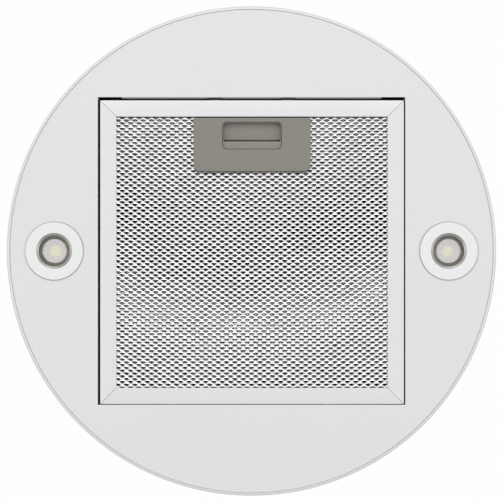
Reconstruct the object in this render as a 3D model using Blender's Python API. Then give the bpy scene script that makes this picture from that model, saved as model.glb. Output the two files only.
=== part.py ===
"""Round island range hood with a square grease filter, in metres.

+Z is up. The origin is the middle of the underside, in the plane of the light bezels' faces.
The user stands on the -Y side, where the buttons and the filter's handle are.
Each object is one physical piece. Cutters and joiners are wire objects that don't render.
"""

import math

import bmesh
import bpy
from mathutils import Matrix, Vector

# ---------------------------------------------------------------- shared clearances and sheet
GAP = 0.0003  # between two pieces that touch
SHEET = 0.0012  # painted steel sheet
OVERRUN = 0.003  # how far a cutter passes the wall it cuts

# ---------------------------------------------------------------- shells
HOOD_DIAMETER = 0.370
LOWER_SHELL_HEIGHT = 0.600
CEILING_HEIGHT = 0.880  # from the underside to the ceiling at rest
UPPER_SHELL_WALL = 0.0010
SHELL_SLIDING_GAP = 0.0012
RIM_RADIUS = 0.0020  # rolled lower edge of the lower shell
RAISE_TRAVEL = 0.050  # how far the hood can be set higher than at rest
DROP_TRAVEL = 0.140  # how far it can be set lower
TUBE_SEGMENTS = 96

# ---------------------------------------------------------------- lights
BEZEL_RADIUS = 0.0219
BEZEL_THICKNESS = 0.0012
APERTURE_RADIUS = 0.0134
APERTURE_CHAMFER = 0.0018
LIGHT_BODY_RADIUS = 0.0175
LIGHT_BODY_HEIGHT = 0.024
LIGHT_BODY_WALL = 0.0022
LENS_THICKNESS = 0.0015
LED_BOARD_THICKNESS = 0.0016
LED_CHIP_RADIUS = 0.0041
LED_CHIP_HEIGHT = 0.0010
CONE_THROAT = 0.0090
CONE_WALL = 0.0008
LIGHT_HEADROOM = 0.006  # over the LED board
STRAP_WIDTH = 0.008
STRAP_SHEET = 0.0006
STRAP_TOE = 0.0036
STRAP_BEND = 0.004
LIGHT_EDGE_MARGIN = 0.0118  # bezel to the plate's outer edge
LIGHT_OPENING_MARGIN = 0.0110  # bezel to the filter opening
LIGHT_SEGMENTS = 32

# ---------------------------------------------------------------- bottom plate
OPENING_FLANGE_HEIGHT = 0.014
CORNER_RELIEF = 0.0178  # missing stretch of flange at each corner of the opening
PLATE_EDGE_HEIGHT = 0.0112
WINDOW_TO_FLANGE_TOP = 0.003

# ---------------------------------------------------------------- grease filter
FILTER_PLAY = 0.0013  # each side, before the filter settles to one side
FILTER_SHIFT_X = 0.0004
FILTER_SHIFT_Y = 0.0009
STRIP_WIDTH = 0.0122
STRIP_DEPTH = 0.0095
STRIP_WALL = 0.0008
MITRE_GAP = 0.0003
MESH_FRONT_THICKNESS = 0.0014
REAR_TAB_SPACING = 0.120
REAR_TAB_WIDTH = 0.010
REAR_TAB_LENGTH = 0.0045
REAR_TAB_THICKNESS = 0.0012
HINGE_INSET = 0.0020  # hinge line in from the filter's rear edge

# ---------------------------------------------------------------- handle and latch
HANDLE_WIDTH = 0.0883
HANDLE_LENGTH = 0.0408
HANDLE_GAP = 0.0007  # from the front strip
HANDLE_THICKNESS = 0.0012
HANDLE_CORNER = 0.0045
HANDLE_WALL = 0.0015
HANDLE_PROUD = 0.0004
RECESS_WIDTH = 0.0451
RECESS_LENGTH = 0.0208
RECESS_CORNER = 0.0036
RECESS_INSET = 0.0035  # from the handle's front edge
GRIP_BAR = 0.0060
POCKET_DEPTH = 0.0058
POCKET_WALL = 0.0014
SLIDER_PLATE = 0.0015
LATCH_TRAVEL = 0.0045
TONGUE_SPACING = 0.055
TONGUE_WIDTH = 0.009
TONGUE_THICKNESS = 0.0018
TONGUE_LIFT = 0.0008  # above the slider's plate
TONGUE_ROOT = 0.005
BLOCK_INSET = 0.0005
BLOCK_LENGTH = 0.006
LUG_WIDTH = 0.005
LUG_THICKNESS = 0.0015
LUG_TO_SPRING_EDGE = 0.002
LUG_TO_RECESS_REAR = 0.013
TONGUE_REACH = 0.0016  # past the inner face of the opening's flange
SPRING_RADIUS = 0.0019
SPRING_WIRE = 0.00028
SPRING_TURNS = 6
SPRING_STEPS = 10  # in each turn

# ---------------------------------------------------------------- blower
PLENUM_HEIGHT = 0.076  # from the underside to the blower
BLOWER_CLEARANCE = 0.009
SCROLL_HALF_WIDTH = 0.058
SCROLL_WALL = 0.002
SCROLL_FLANGE = 0.008
SCROLL_GROWTH = 0.032
SCROLL_STEPS = 26
IMPELLER_GAP = 0.006
OUTLET_WIDTH = 0.104
OUTLET_NECK = 0.026
BLADE_COUNT = 30
BLADE_DEPTH = 0.013
BLADE_THICKNESS = 0.0012
BLADE_LEAN = math.radians(28)
IMPELLER_SIDE_GAP = 0.006
IMPELLER_RING = 0.0020
HUB_RADIUS = 0.014
SHAFT_RADIUS = 0.004
MOTOR_RADIUS = 0.038
MOTOR_LENGTH = 0.058
INLET_INSET = 0.018  # inlet radius below the impeller's radius
SHAFT_NOSE = 0.008  # past the hub
SHAFT_TAIL = 0.006  # short of the motor's rear face
HUB_TO_MOTOR = 0.002  # how far the motor's front boss enters the hub's depth
MOTOR_STEP = 0.004
SPIDER_SHEET = 0.003
SPIDER_RING = 0.006
SPIDER_ARM_WIDTH = 0.012
SPIDER_ARM_ROOT = 0.002
SPIDER_ARM_LAP = 0.008  # past the inlet's edge

# ---------------------------------------------------------------- carrier, duct collar and flaps
CARRIER_THICKNESS = 0.002
CARRIER_FLANGE = 0.010
COLLAR_RADIUS = 0.075
COLLAR_WALL = 0.0015
COLLAR_HEIGHT = 0.062
COLLAR_FLANGE = 0.015
STOP_HEIGHT = 0.0145
STOP_WIDTH = 0.004
STOP_THICKNESS = 0.0025
FLAP_THICKNESS = 0.0015
FLAP_CLEARANCE = 0.0008
KNUCKLE_RADIUS = 0.0032
PIN_RADIUS = 0.0015
MIDDLE_KNUCKLE = 0.020  # half length of the right flap's one knuckle
OUTER_KNUCKLE_START = 0.025
OUTER_KNUCKLE_END = 0.055
KNUCKLE_BAR = 0.004

# ---------------------------------------------------------------- telescopic frame
CEILING_PLATE = 0.002
DUCT_HOLE_RADIUS = 0.080
CEILING_HOLE_RADIUS = 0.004
CEILING_HOLE_CIRCLE = 0.140
POST_LEG = 0.025
POST_WALL = 0.0015
POST_EDGE_MARGIN = 0.0119  # post corner to the upper shell's inside
POST_NESTING_GAP = 0.0005
POST_FOOT_TRAVEL_GAP = 0.020
UPPER_POST_TO_SCREW = 0.030
LOWER_POST_PAST_SLOT = 0.047
SCREW_RADIUS = 0.0023
SCREW_HEAD_RADIUS = 0.0045
SCREW_HEAD = 0.003
SLOT_MARGIN = 0.0007
VENT_COUNT = 6
VENT_HEIGHT = 0.004
VENT_PITCH = 0.010
VENT_HALF_WIDTH = 0.045
VENT_TOP_MARGIN = 0.030

# ---------------------------------------------------------------- electronics and controls
COVER_LENGTH = 0.110
COVER_HEIGHT = 0.052
COVER_WALL = 0.002
COVER_TO_COLLAR = 0.0104  # clear floor between the duct collar's flange and the cover
COVER_TO_SHELL = 0.006  # cover's outer corners to the upper shell's inside
BOARD_THICKNESS = 0.0016
BOARD_LIFT = 0.008
BOARD_MARGIN = 0.004
BOARD_FOOT = 0.004
BOARD_PARTS = (  # each block's place along Y, its width, and its height
    (-0.030, 0.028, 0.022),
    (0.006, 0.016, 0.015),
    (0.032, 0.018, 0.012),
)
BOARD_PART_ASPECT = 2 / 3
CAPACITOR_RADIUS = 0.015
CAPACITOR_LENGTH = 0.055
TERMINAL = 0.006  # radius and height of the capacitor's terminal block
GLAND_RADIUS = 0.006
GLAND_BORE = 0.004
GLAND_NUT_RADIUS = 0.0096
GLAND_NUT_HEIGHT = 0.005
GLAND_NECK_RADIUS = 0.0078
GLAND_HEIGHT = 0.012
BRACKET_WIDTH = 0.080
BRACKET_SHEET = 0.0015
BRACKET_FOOT = 0.018
BRACKET_MARGIN = 0.022
CONTROL_HEIGHT = 0.075  # of the buttons' row above the underside
CONTROL_HALF_ANGLE = math.radians(14)
CONTROL_BAND = 0.018
CONTROL_LIP = 0.004
CONTROL_PROUD = 0.0006
CONTROL_DEPTH = 0.0048
BUTTON_NAMES = ("button_light", "button_speed_down", "button_speed_up", "button_power")
BUTTON_PITCH = 0.022
BUTTON_RADIUS = 0.0050
BUTTON_PROUD = 0.0012
BUTTON_TRAVEL = 0.0020
BUTTON_COLLAR = 0.0012
BUTTON_STEM = 0.0030
BUTTON_BOARD_MARGIN = 0.006
BUTTON_BOARD_POST = 0.004
BUTTON_BOARD_POST_INSET = 0.003

# ---------------------------------------------------------------- worked out from the above
SHELL_RADIUS = HOOD_DIAMETER / 2
SHELL_INNER = SHELL_RADIUS - SHEET
RIM_Z = BEZEL_THICKNESS - 2 * GAP
PLATE_Z = BEZEL_THICKNESS + GAP
PLATE_TOP = PLATE_Z + SHEET
PLATE_RADIUS = SHELL_RADIUS - RIM_RADIUS - GAP
LIGHT_X = PLATE_RADIUS - LIGHT_EDGE_MARGIN - BEZEL_RADIUS
OPENING_HALF = LIGHT_X - BEZEL_RADIUS - LIGHT_OPENING_MARGIN
FLANGE_TOP = PLATE_Z + OPENING_FLANGE_HEIGHT

FILTER_HALF = OPENING_HALF - FILTER_PLAY
FILTER_Z = PLATE_Z
FILTER_TOP = FILTER_Z + STRIP_DEPTH
FILTER_FRONT = FILTER_SHIFT_Y - FILTER_HALF
FILTER_REAR = FILTER_SHIFT_Y + FILTER_HALF
HINGE_Y = FILTER_REAR - HINGE_INSET
MESH_Z = FILTER_Z + STRIP_WALL + GAP
HANDLE_Z = FILTER_Z - HANDLE_PROUD
HANDLE_FRONT = FILTER_FRONT + STRIP_WIDTH + HANDLE_GAP
HANDLE_REAR = HANDLE_FRONT + HANDLE_LENGTH
HANDLE_BODY_TOP = FILTER_TOP - STRIP_WALL - GAP
RECESS_FRONT = HANDLE_FRONT + RECESS_INSET
RECESS_REAR = RECESS_FRONT + RECESS_LENGTH
SLIDER_Z = HANDLE_Z + HANDLE_THICKNESS + GAP
TONGUE_Z = SLIDER_Z + SLIDER_PLATE + TONGUE_LIFT
REAR_TAB_Z = FILTER_Z + STRIP_DEPTH / 2

SCROLL_REACH = math.sqrt((SHELL_INNER - BLOWER_CLEARANCE) ** 2 - SCROLL_HALF_WIDTH**2)
IMPELLER_RADIUS = (
    SCROLL_REACH + OUTLET_WIDTH / 2 - SCROLL_WALL - 2 * IMPELLER_GAP - SCROLL_GROWTH * 4 / 3
) / 2
SCROLL_START = IMPELLER_RADIUS + IMPELLER_GAP
SCROLL_END = SCROLL_START + SCROLL_GROWTH
BLOWER_X = OUTLET_WIDTH / 2 - SCROLL_END
BLOWER_Z = PLENUM_HEIGHT + SCROLL_WALL + SCROLL_START + SCROLL_GROWTH * 2 / 3
CARRIER_Z = BLOWER_Z + SCROLL_END + OUTLET_NECK
CARRIER_TOP = CARRIER_Z + CARRIER_THICKNESS
INLET_RADIUS = IMPELLER_RADIUS - INLET_INSET
BLADE_INNER = IMPELLER_RADIUS - BLADE_DEPTH
IMPELLER_HALF = SCROLL_HALF_WIDTH - SCROLL_WALL - IMPELLER_SIDE_GAP
MOTOR_FRONT = HUB_RADIUS - HUB_TO_MOTOR
MOTOR_REAR = MOTOR_FRONT + MOTOR_LENGTH

COLLAR_Z = CARRIER_TOP + GAP
COLLAR_TOP = COLLAR_Z + COLLAR_HEIGHT
COLLAR_INNER = COLLAR_RADIUS - COLLAR_WALL
STOP_TOP = COLLAR_Z + STOP_HEIGHT
PIN_Z = STOP_TOP + GAP + KNUCKLE_RADIUS
FLAP_RADIUS = COLLAR_INNER - FLAP_CLEARANCE

UPPER_SHELL_RADIUS = SHELL_INNER - SHELL_SLIDING_GAP
UPPER_SHELL_INNER = UPPER_SHELL_RADIUS - UPPER_SHELL_WALL
UPPER_SHELL_Z = CARRIER_TOP + POST_FOOT_TRAVEL_GAP + RAISE_TRAVEL
CEILING_PLATE_Z = CEILING_HEIGHT - CEILING_PLATE
POST_CORNER = (UPPER_SHELL_INNER - POST_EDGE_MARGIN) / math.sqrt(2)
UPPER_POST_Z = UPPER_SHELL_Z + POST_FOOT_TRAVEL_GAP
SCREW_Z = UPPER_POST_Z + UPPER_POST_TO_SCREW
SLOT_BOTTOM = SCREW_Z - RAISE_TRAVEL - SCREW_RADIUS - SLOT_MARGIN
SLOT_TOP = SCREW_Z + DROP_TRAVEL + SCREW_RADIUS + SLOT_MARGIN
LOWER_POST_TOP = SLOT_TOP + LOWER_POST_PAST_SLOT
BRACKET_Y = OPENING_HALF + SHEET + BRACKET_MARGIN


# ---------------------------------------------------------------- tools
def clear_scene():
    for obj in list(bpy.data.objects):
        bpy.data.objects.remove(obj, do_unlink=True)


def make_material(name, colour, roughness, metallic=0.0, alpha=1.0):
    material = bpy.data.materials.new(name)
    material.use_nodes = True
    shader = material.node_tree.nodes["Principled BSDF"]
    shader.inputs["Base Color"].default_value = (*colour, 1.0)
    shader.inputs["Roughness"].default_value = roughness
    shader.inputs["Metallic"].default_value = metallic
    shader.inputs["Alpha"].default_value = alpha
    material.diffuse_color = (*colour, alpha)
    return material


def turned(u, v, w, axis):
    """A point (u, v) of a flat outline, w along the axis that the outline is extruded on."""
    return {"X": (w, u, v), "Y": (u, w, v), "Z": (u, v, w)}[axis]


def prism(bm, outline, low, high, axis="Z"):
    """Adds the solid between two copies of a closed outline."""
    bottom = [bm.verts.new(turned(u, v, low, axis)) for u, v in outline]
    top = [bm.verts.new(turned(u, v, high, axis)) for u, v in outline]
    bm.faces.new(bottom)
    bm.faces.new(top)
    for i, corner in enumerate(bottom):
        j = (i + 1) % len(bottom)
        bm.faces.new((corner, bottom[j], top[j], top[i]))


def box(bm, low, high):
    """Adds a box between two corners."""
    prism(bm, [(low[0], low[1]), (high[0], low[1]), (high[0], high[1]), (low[0], high[1])], low[2], high[2])


def lathe(bm, profile, centre=(0, 0, 0), axis="Z", segments=TUBE_SEGMENTS):
    """Adds the solid swept by a closed (radius, height) profile turned once about an axis."""
    rings = []
    for k in range(segments):
        angle = 2 * math.pi * (k + 0.5) / segments
        ring = []
        for radius, height in profile:
            u, v = radius * math.cos(angle), radius * math.sin(angle)
            ring.append(bm.verts.new(Vector(turned(u, v, height, axis)) + Vector(centre)))
        rings.append(ring)
    for k, ring in enumerate(rings):
        following = rings[(k + 1) % segments]
        for i in range(len(profile)):
            j = (i + 1) % len(profile)
            on_axis = profile[i][0] == 0 and profile[j][0] == 0
            if not on_axis:
                bm.faces.new((ring[i], ring[j], following[j], following[i]))
    bmesh.ops.remove_doubles(bm, verts=bm.verts, dist=1e-7)
    bmesh.ops.dissolve_degenerate(bm, edges=bm.edges, dist=1e-7)


def arc(centre, radius, start, end, steps):
    """Points on an arc, angles in radians."""
    return [
        (
            centre[0] + radius * math.cos(start + (end - start) * k / steps),
            centre[1] + radius * math.sin(start + (end - start) * k / steps),
        )
        for k in range(steps + 1)
    ]


def rounded_rectangle(left, front, right, rear, front_radius, rear_radius, steps=4):
    """An outline whose two front corners and two rear corners are rounded, or sharp at radius 0."""
    outline = []
    corners = (
        (left, front, 1, 1, front_radius, math.pi),
        (right, front, -1, 1, front_radius, -math.pi / 2),
        (right, rear, -1, -1, rear_radius, 0.0),
        (left, rear, 1, -1, rear_radius, math.pi / 2),
    )
    for x, y, inward_x, inward_y, radius, start in corners:
        if radius == 0:
            outline.append((x, y))
        else:
            centre = (x + inward_x * radius, y + inward_y * radius)
            outline += arc(centre, radius, start, start + math.pi / 2, steps)
    return outline


def add_piece(name, bm, material, origin=(0, 0, 0), parent=None):
    """Makes the object of a piece drawn in the hood's frame, with its own origin at the point given."""
    bmesh.ops.recalc_face_normals(bm, faces=bm.faces)
    bmesh.ops.translate(bm, verts=bm.verts, vec=-Vector(origin))
    mesh = bpy.data.meshes.new(name)
    bm.to_mesh(mesh)
    bm.free()
    mesh.shade_smooth()
    mesh.set_sharp_from_angle(angle=math.radians(35))
    if material is not None:
        mesh.materials.append(material)
    piece = bpy.data.objects.new(name, mesh)
    bpy.context.scene.collection.objects.link(piece)
    piece.location = origin
    if parent is not None:
        piece.parent = parent
        piece.matrix_parent_inverse = Matrix.Translation(-parent.matrix_world.translation)
    return piece


def add_axis(name, place, parent=None):
    """An empty on a joint's axis, which the moving pieces are parented to."""
    empty = bpy.data.objects.new(name, None)
    bpy.context.scene.collection.objects.link(empty)
    empty.empty_display_size = 0.02
    empty.location = place
    if parent is not None:
        empty.parent = parent
        empty.matrix_parent_inverse = Matrix.Translation(-parent.matrix_world.translation)
    bpy.context.view_layer.update()
    return empty


def combine(piece, bm, operation):
    """Cuts a piece with another shape, or joins the shape to it, with a Boolean modifier."""
    count = len(piece.modifiers) + 1
    helper = add_piece(f"{piece.name}.{operation.lower()}_{count}", bm, None)
    helper.hide_render = True
    helper.display_type = "WIRE"
    bpy.context.view_layer.update()
    helper.parent = piece
    helper.matrix_parent_inverse = piece.matrix_world.inverted()
    modifier = piece.modifiers.new(f"{operation.lower()}_{count}", "BOOLEAN")
    modifier.operation = operation
    modifier.solver = "EXACT"
    modifier.object = helper


def cut(piece, bm):
    combine(piece, bm, "DIFFERENCE")


def join(piece, bm):
    combine(piece, bm, "UNION")


# ---------------------------------------------------------------- shells and structure
def build_lower_shell(paint, hood):
    """Rolled steel tube whose lower edge is curled in to a lip that frames the bottom plate."""
    lip = SHELL_RADIUS - RIM_RADIUS
    inner_curl = RIM_RADIUS - SHEET
    centre = (lip, RIM_Z + RIM_RADIUS)
    profile = [(SHELL_RADIUS, LOWER_SHELL_HEIGHT)]
    profile += arc(centre, RIM_RADIUS, 0, -math.pi / 2, 4)
    profile += arc(centre, inner_curl, -math.pi / 2, 0, 2)
    profile += [(SHELL_INNER, LOWER_SHELL_HEIGHT)]
    bm = bmesh.new()
    lathe(bm, profile)
    shell = add_piece("lower_shell", bm, paint, parent=hood)
    slot = bmesh.new()
    half = math.sin(CONTROL_HALF_ANGLE) * SHELL_RADIUS
    low = CONTROL_HEIGHT - CONTROL_BAND / 2
    high = CONTROL_HEIGHT + CONTROL_BAND / 2
    box(slot, (-half, -SHELL_RADIUS - OVERRUN, low), (half, -SHELL_INNER * 0.9, high))
    cut(shell, slot)


def build_upper_shell(paint):
    """Plain tube that hides the ceiling frame, with recirculation slots near its top on both sides."""
    bm = bmesh.new()
    lathe(
        bm,
        [
            (UPPER_SHELL_RADIUS, CEILING_HEIGHT),
            (UPPER_SHELL_RADIUS, UPPER_SHELL_Z),
            (UPPER_SHELL_INNER, UPPER_SHELL_Z),
            (UPPER_SHELL_INNER, CEILING_HEIGHT),
        ],
    )
    shell = add_piece("upper_shell", bm, paint)
    slots = bmesh.new()
    reach = UPPER_SHELL_RADIUS + OVERRUN
    start = CEILING_PLATE_Z - VENT_TOP_MARGIN - VENT_HEIGHT
    for side in (-1, 1):
        near, far = sorted((side * UPPER_SHELL_INNER * 0.9, side * reach))
        for k in range(VENT_COUNT):
            low = start - k * VENT_PITCH
            box(slots, (near, -VENT_HALF_WIDTH, low), (far, VENT_HALF_WIDTH, low + VENT_HEIGHT))
    cut(shell, slots)


def build_bottom_plate(paint, hood):
    """Round pressed plate with a flanged edge, a flanged square opening and two light holes."""
    bm = bmesh.new()
    top = PLATE_Z + PLATE_EDGE_HEIGHT
    lathe(
        bm,
        [
            (0, PLATE_Z),
            (PLATE_RADIUS, PLATE_Z),
            (PLATE_RADIUS, top),
            (PLATE_RADIUS - SHEET, top),
            (PLATE_RADIUS - SHEET, PLATE_TOP),
            (0, PLATE_TOP),
        ],
    )
    plate = add_piece("bottom_plate", bm, paint, parent=hood)

    flange = bmesh.new()
    outer = OPENING_HALF + SHEET
    box(flange, (-outer, -outer, PLATE_Z + SHEET / 3), (outer, outer, FLANGE_TOP))
    join(plate, flange)

    through = bmesh.new()
    low = PLATE_Z - OVERRUN
    high = FLANGE_TOP + OVERRUN
    box(through, (-OPENING_HALF, -OPENING_HALF, low), (OPENING_HALF, OPENING_HALF, high))
    hole = LIGHT_BODY_RADIUS + GAP * 2
    for side in (-1, 1):
        lathe(
            through,
            [(0, low), (hole, low), (hole, high), (0, high)],
            (side * LIGHT_X, 0, 0),
            segments=LIGHT_SEGMENTS,
        )
    cut(plate, through)

    windows = bmesh.new()
    inside = OPENING_HALF - OVERRUN
    outside = OPENING_HALF + SHEET + OVERRUN
    tongue_low = TONGUE_Z - 2 * GAP
    tongue_high = TONGUE_Z + TONGUE_THICKNESS + 4 * GAP
    tab_low = REAR_TAB_Z - 2 * GAP
    tab_high = FLANGE_TOP - WINDOW_TO_FLANGE_TOP
    for side in (-1, 1):
        middle = side * TONGUE_SPACING / 2
        half = TONGUE_WIDTH / 2 + FILTER_PLAY
        box(windows, (middle - half, -outside, tongue_low), (middle + half, -inside, tongue_high))
        middle = side * REAR_TAB_SPACING / 2
        half = REAR_TAB_WIDTH / 2 + FILTER_PLAY
        box(windows, (middle - half, inside, tab_low), (middle + half, outside, tab_high))
        near, far = sorted((side * (OPENING_HALF - CORNER_RELIEF), side * outside))
        for y_low, y_high in ((-outside, -inside), (inside, outside)):
            box(windows, (near, y_low, PLATE_TOP + GAP), (far, y_high, high))
    cut(plate, windows)


def build_brackets(steel, hood):
    """Two C-shaped uprights that carry the bottom plate and the lower shell from the carrier plate."""
    foot_z = PLATE_TOP + GAP
    head_z = CARRIER_Z - GAP
    for name, side in (("chassis_bracket_front", -1), ("chassis_bracket_rear", 1)):
        web = side * BRACKET_Y
        back = side * (BRACKET_Y + BRACKET_SHEET)
        end = side * (BRACKET_Y + BRACKET_FOOT)
        outline = [
            (web, foot_z),
            (end, foot_z),
            (end, foot_z + BRACKET_SHEET),
            (back, foot_z + BRACKET_SHEET),
            (back, head_z - BRACKET_SHEET),
            (end, head_z - BRACKET_SHEET),
            (end, head_z),
            (web, head_z),
        ]
        bm = bmesh.new()
        prism(bm, outline, -BRACKET_WIDTH / 2, BRACKET_WIDTH / 2, "X")
        bracket = add_piece(name, bm, steel, parent=hood)
        window = bmesh.new()
        height = head_z - foot_z
        y_low, y_high = sorted((web - side * OVERRUN, back + side * OVERRUN))
        half = BRACKET_WIDTH / 3
        box(window, (-half, y_low, foot_z + height / 3), (half, y_high, head_z - height / 6))
        cut(bracket, window)


def post_outline(corner, side_x, side_y):
    """An angle section whose corner is at (corner, corner) in the quadrant of the two signs."""
    inner = corner - POST_WALL
    end = corner - POST_LEG
    points = [(corner, corner), (corner, end), (inner, end), (inner, inner), (end, inner), (end, corner)]
    return [(side_x * x, side_y * y) for x, y in points]


def build_frame(steel, hood):
    """Ceiling plate, four upper posts, and four lower posts that nest in them behind slotted legs."""
    bm = bmesh.new()
    lathe(
        bm,
        [
            (DUCT_HOLE_RADIUS, CEILING_PLATE_Z),
            (UPPER_SHELL_INNER - 2 * GAP, CEILING_PLATE_Z),
            (UPPER_SHELL_INNER - 2 * GAP, CEILING_HEIGHT),
            (DUCT_HOLE_RADIUS, CEILING_HEIGHT),
        ],
        segments=TUBE_SEGMENTS // 2,
    )
    plate = add_piece("ceiling_plate", bm, steel)
    holes = bmesh.new()
    low, high = CEILING_PLATE_Z - OVERRUN, CEILING_HEIGHT + OVERRUN
    for x, y in ((1, 0), (0, 1), (-1, 0), (0, -1)):
        profile = [(0, low), (CEILING_HOLE_RADIUS, low), (CEILING_HOLE_RADIUS, high), (0, high)]
        lathe(holes, profile, (x * CEILING_HOLE_CIRCLE, y * CEILING_HOLE_CIRCLE, 0), segments=12)
    cut(plate, holes)

    lower_corner = POST_CORNER - POST_WALL - POST_NESTING_GAP
    hole_radius = SCREW_RADIUS + SLOT_MARGIN
    quadrants = (("front_left", -1, -1), ("front_right", 1, -1), ("rear_right", 1, 1), ("rear_left", -1, 1))
    for name, side_x, side_y in quadrants:
        bm = bmesh.new()
        prism(bm, post_outline(POST_CORNER, side_x, side_y), UPPER_POST_Z, CEILING_PLATE_Z - GAP)
        upper = add_piece(f"upper_post_{name}", bm, steel)
        screw_y = side_y * (POST_CORNER - POST_LEG / 2)
        x_low, x_high = sorted((side_x * (lower_corner - OVERRUN), side_x * (POST_CORNER + OVERRUN)))
        drill = bmesh.new()
        profile = [(0, x_low), (hole_radius, x_low), (hole_radius, x_high), (0, x_high)]
        lathe(drill, profile, (0, screw_y, SCREW_Z), "X", 12)
        cut(upper, drill)

        bm = bmesh.new()
        prism(bm, post_outline(lower_corner, side_x, side_y), COLLAR_Z, LOWER_POST_TOP)
        lower = add_piece(f"lower_post_{name}", bm, steel, parent=hood)
        slot = bmesh.new()
        box(slot, (x_low, screw_y - hole_radius, SLOT_BOTTOM), (x_high, screw_y + hole_radius, SLOT_TOP))
        cut(lower, slot)

        outer = POST_CORNER + GAP
        inner = lower_corner - POST_WALL - GAP
        profile = [
            (0, side_x * (inner - SCREW_HEAD)),
            (SCREW_HEAD_RADIUS, side_x * (inner - SCREW_HEAD)),
            (SCREW_HEAD_RADIUS, side_x * inner),
            (SCREW_RADIUS, side_x * inner),
            (SCREW_RADIUS, side_x * outer),
            (SCREW_HEAD_RADIUS, side_x * outer),
            (SCREW_HEAD_RADIUS, side_x * (outer + SCREW_HEAD)),
            (0, side_x * (outer + SCREW_HEAD)),
        ]
        bm = bmesh.new()
        lathe(bm, profile, (0, screw_y, SCREW_Z), "X", 6)
        add_piece(f"lock_bolt_{name}", bm, steel)


def build_carrier(steel, hood):
    """Flanged round plate that the lower posts stand on and the blower hangs from."""
    radius = SHELL_INNER - 2 * GAP
    hole = COLLAR_INNER - COLLAR_WALL
    bm = bmesh.new()
    lathe(
        bm,
        [
            (hole, CARRIER_Z),
            (radius - CARRIER_THICKNESS, CARRIER_Z),
            (radius - CARRIER_THICKNESS, CARRIER_Z - CARRIER_FLANGE),
            (radius, CARRIER_Z - CARRIER_FLANGE),
            (radius, CARRIER_TOP),
            (hole, CARRIER_TOP),
        ],
        segments=TUBE_SEGMENTS // 2,
    )
    add_piece("carrier_plate", bm, steel, parent=hood)


# ---------------------------------------------------------------- blower
def scroll_outline(offset):
    """The volute in the XZ plane: a spiral that grows round the impeller and runs up into the outlet."""
    top = CARRIER_Z - GAP
    left = -OUTLET_WIDTH / 2 - offset
    start = math.acos((left - BLOWER_X) / (SCROLL_START + offset))
    points = [(left, top)]
    for k in range(SCROLL_STEPS + 1):
        share = k / SCROLL_STEPS
        angle = start + (2 * math.pi - start) * share
        radius = SCROLL_START + SCROLL_GROWTH * share + offset
        points.append((BLOWER_X + radius * math.cos(angle), BLOWER_Z + radius * math.sin(angle)))
    points.append((points[-1][0], top))
    return points


def build_scroll(plastic, hood):
    """Two moulded halves of the volute, split on the impeller's middle plane, each with an inlet."""
    top = CARRIER_Z - GAP
    for name, side in (("scroll_front", -1), ("scroll_rear", 1)):
        split = side * GAP / 2
        face = side * SCROLL_HALF_WIDTH
        bm = bmesh.new()
        prism(bm, scroll_outline(SCROLL_WALL), min(split, face), max(split, face), "Y")
        half = add_piece(name, bm, plastic, parent=hood)

        flange = bmesh.new()
        reach = OUTLET_WIDTH / 2 + SCROLL_WALL + SCROLL_FLANGE
        edge = side * (SCROLL_HALF_WIDTH + SCROLL_FLANGE)
        box(flange, (-reach, min(split, edge), top - 2 * SCROLL_WALL), (reach, max(split, edge), top))
        join(half, flange)

        cavity = bmesh.new()
        outline = scroll_outline(0)
        outline[0] = (outline[0][0], top + OVERRUN)
        outline[-1] = (outline[-1][0], top + OVERRUN)
        inner = side * (SCROLL_HALF_WIDTH - SCROLL_WALL)
        past = -side * OVERRUN
        prism(cavity, outline, min(past, inner), max(past, inner), "Y")
        cut(half, cavity)

        inlet = bmesh.new()
        near = side * (SCROLL_HALF_WIDTH - 2 * SCROLL_WALL)
        far = side * (SCROLL_HALF_WIDTH + OVERRUN)
        profile = [(0, near), (INLET_RADIUS, near), (INLET_RADIUS, far), (0, far)]
        lathe(inlet, profile, (BLOWER_X, 0, BLOWER_Z), "Y", TUBE_SEGMENTS // 2)
        cut(half, inlet)


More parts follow.
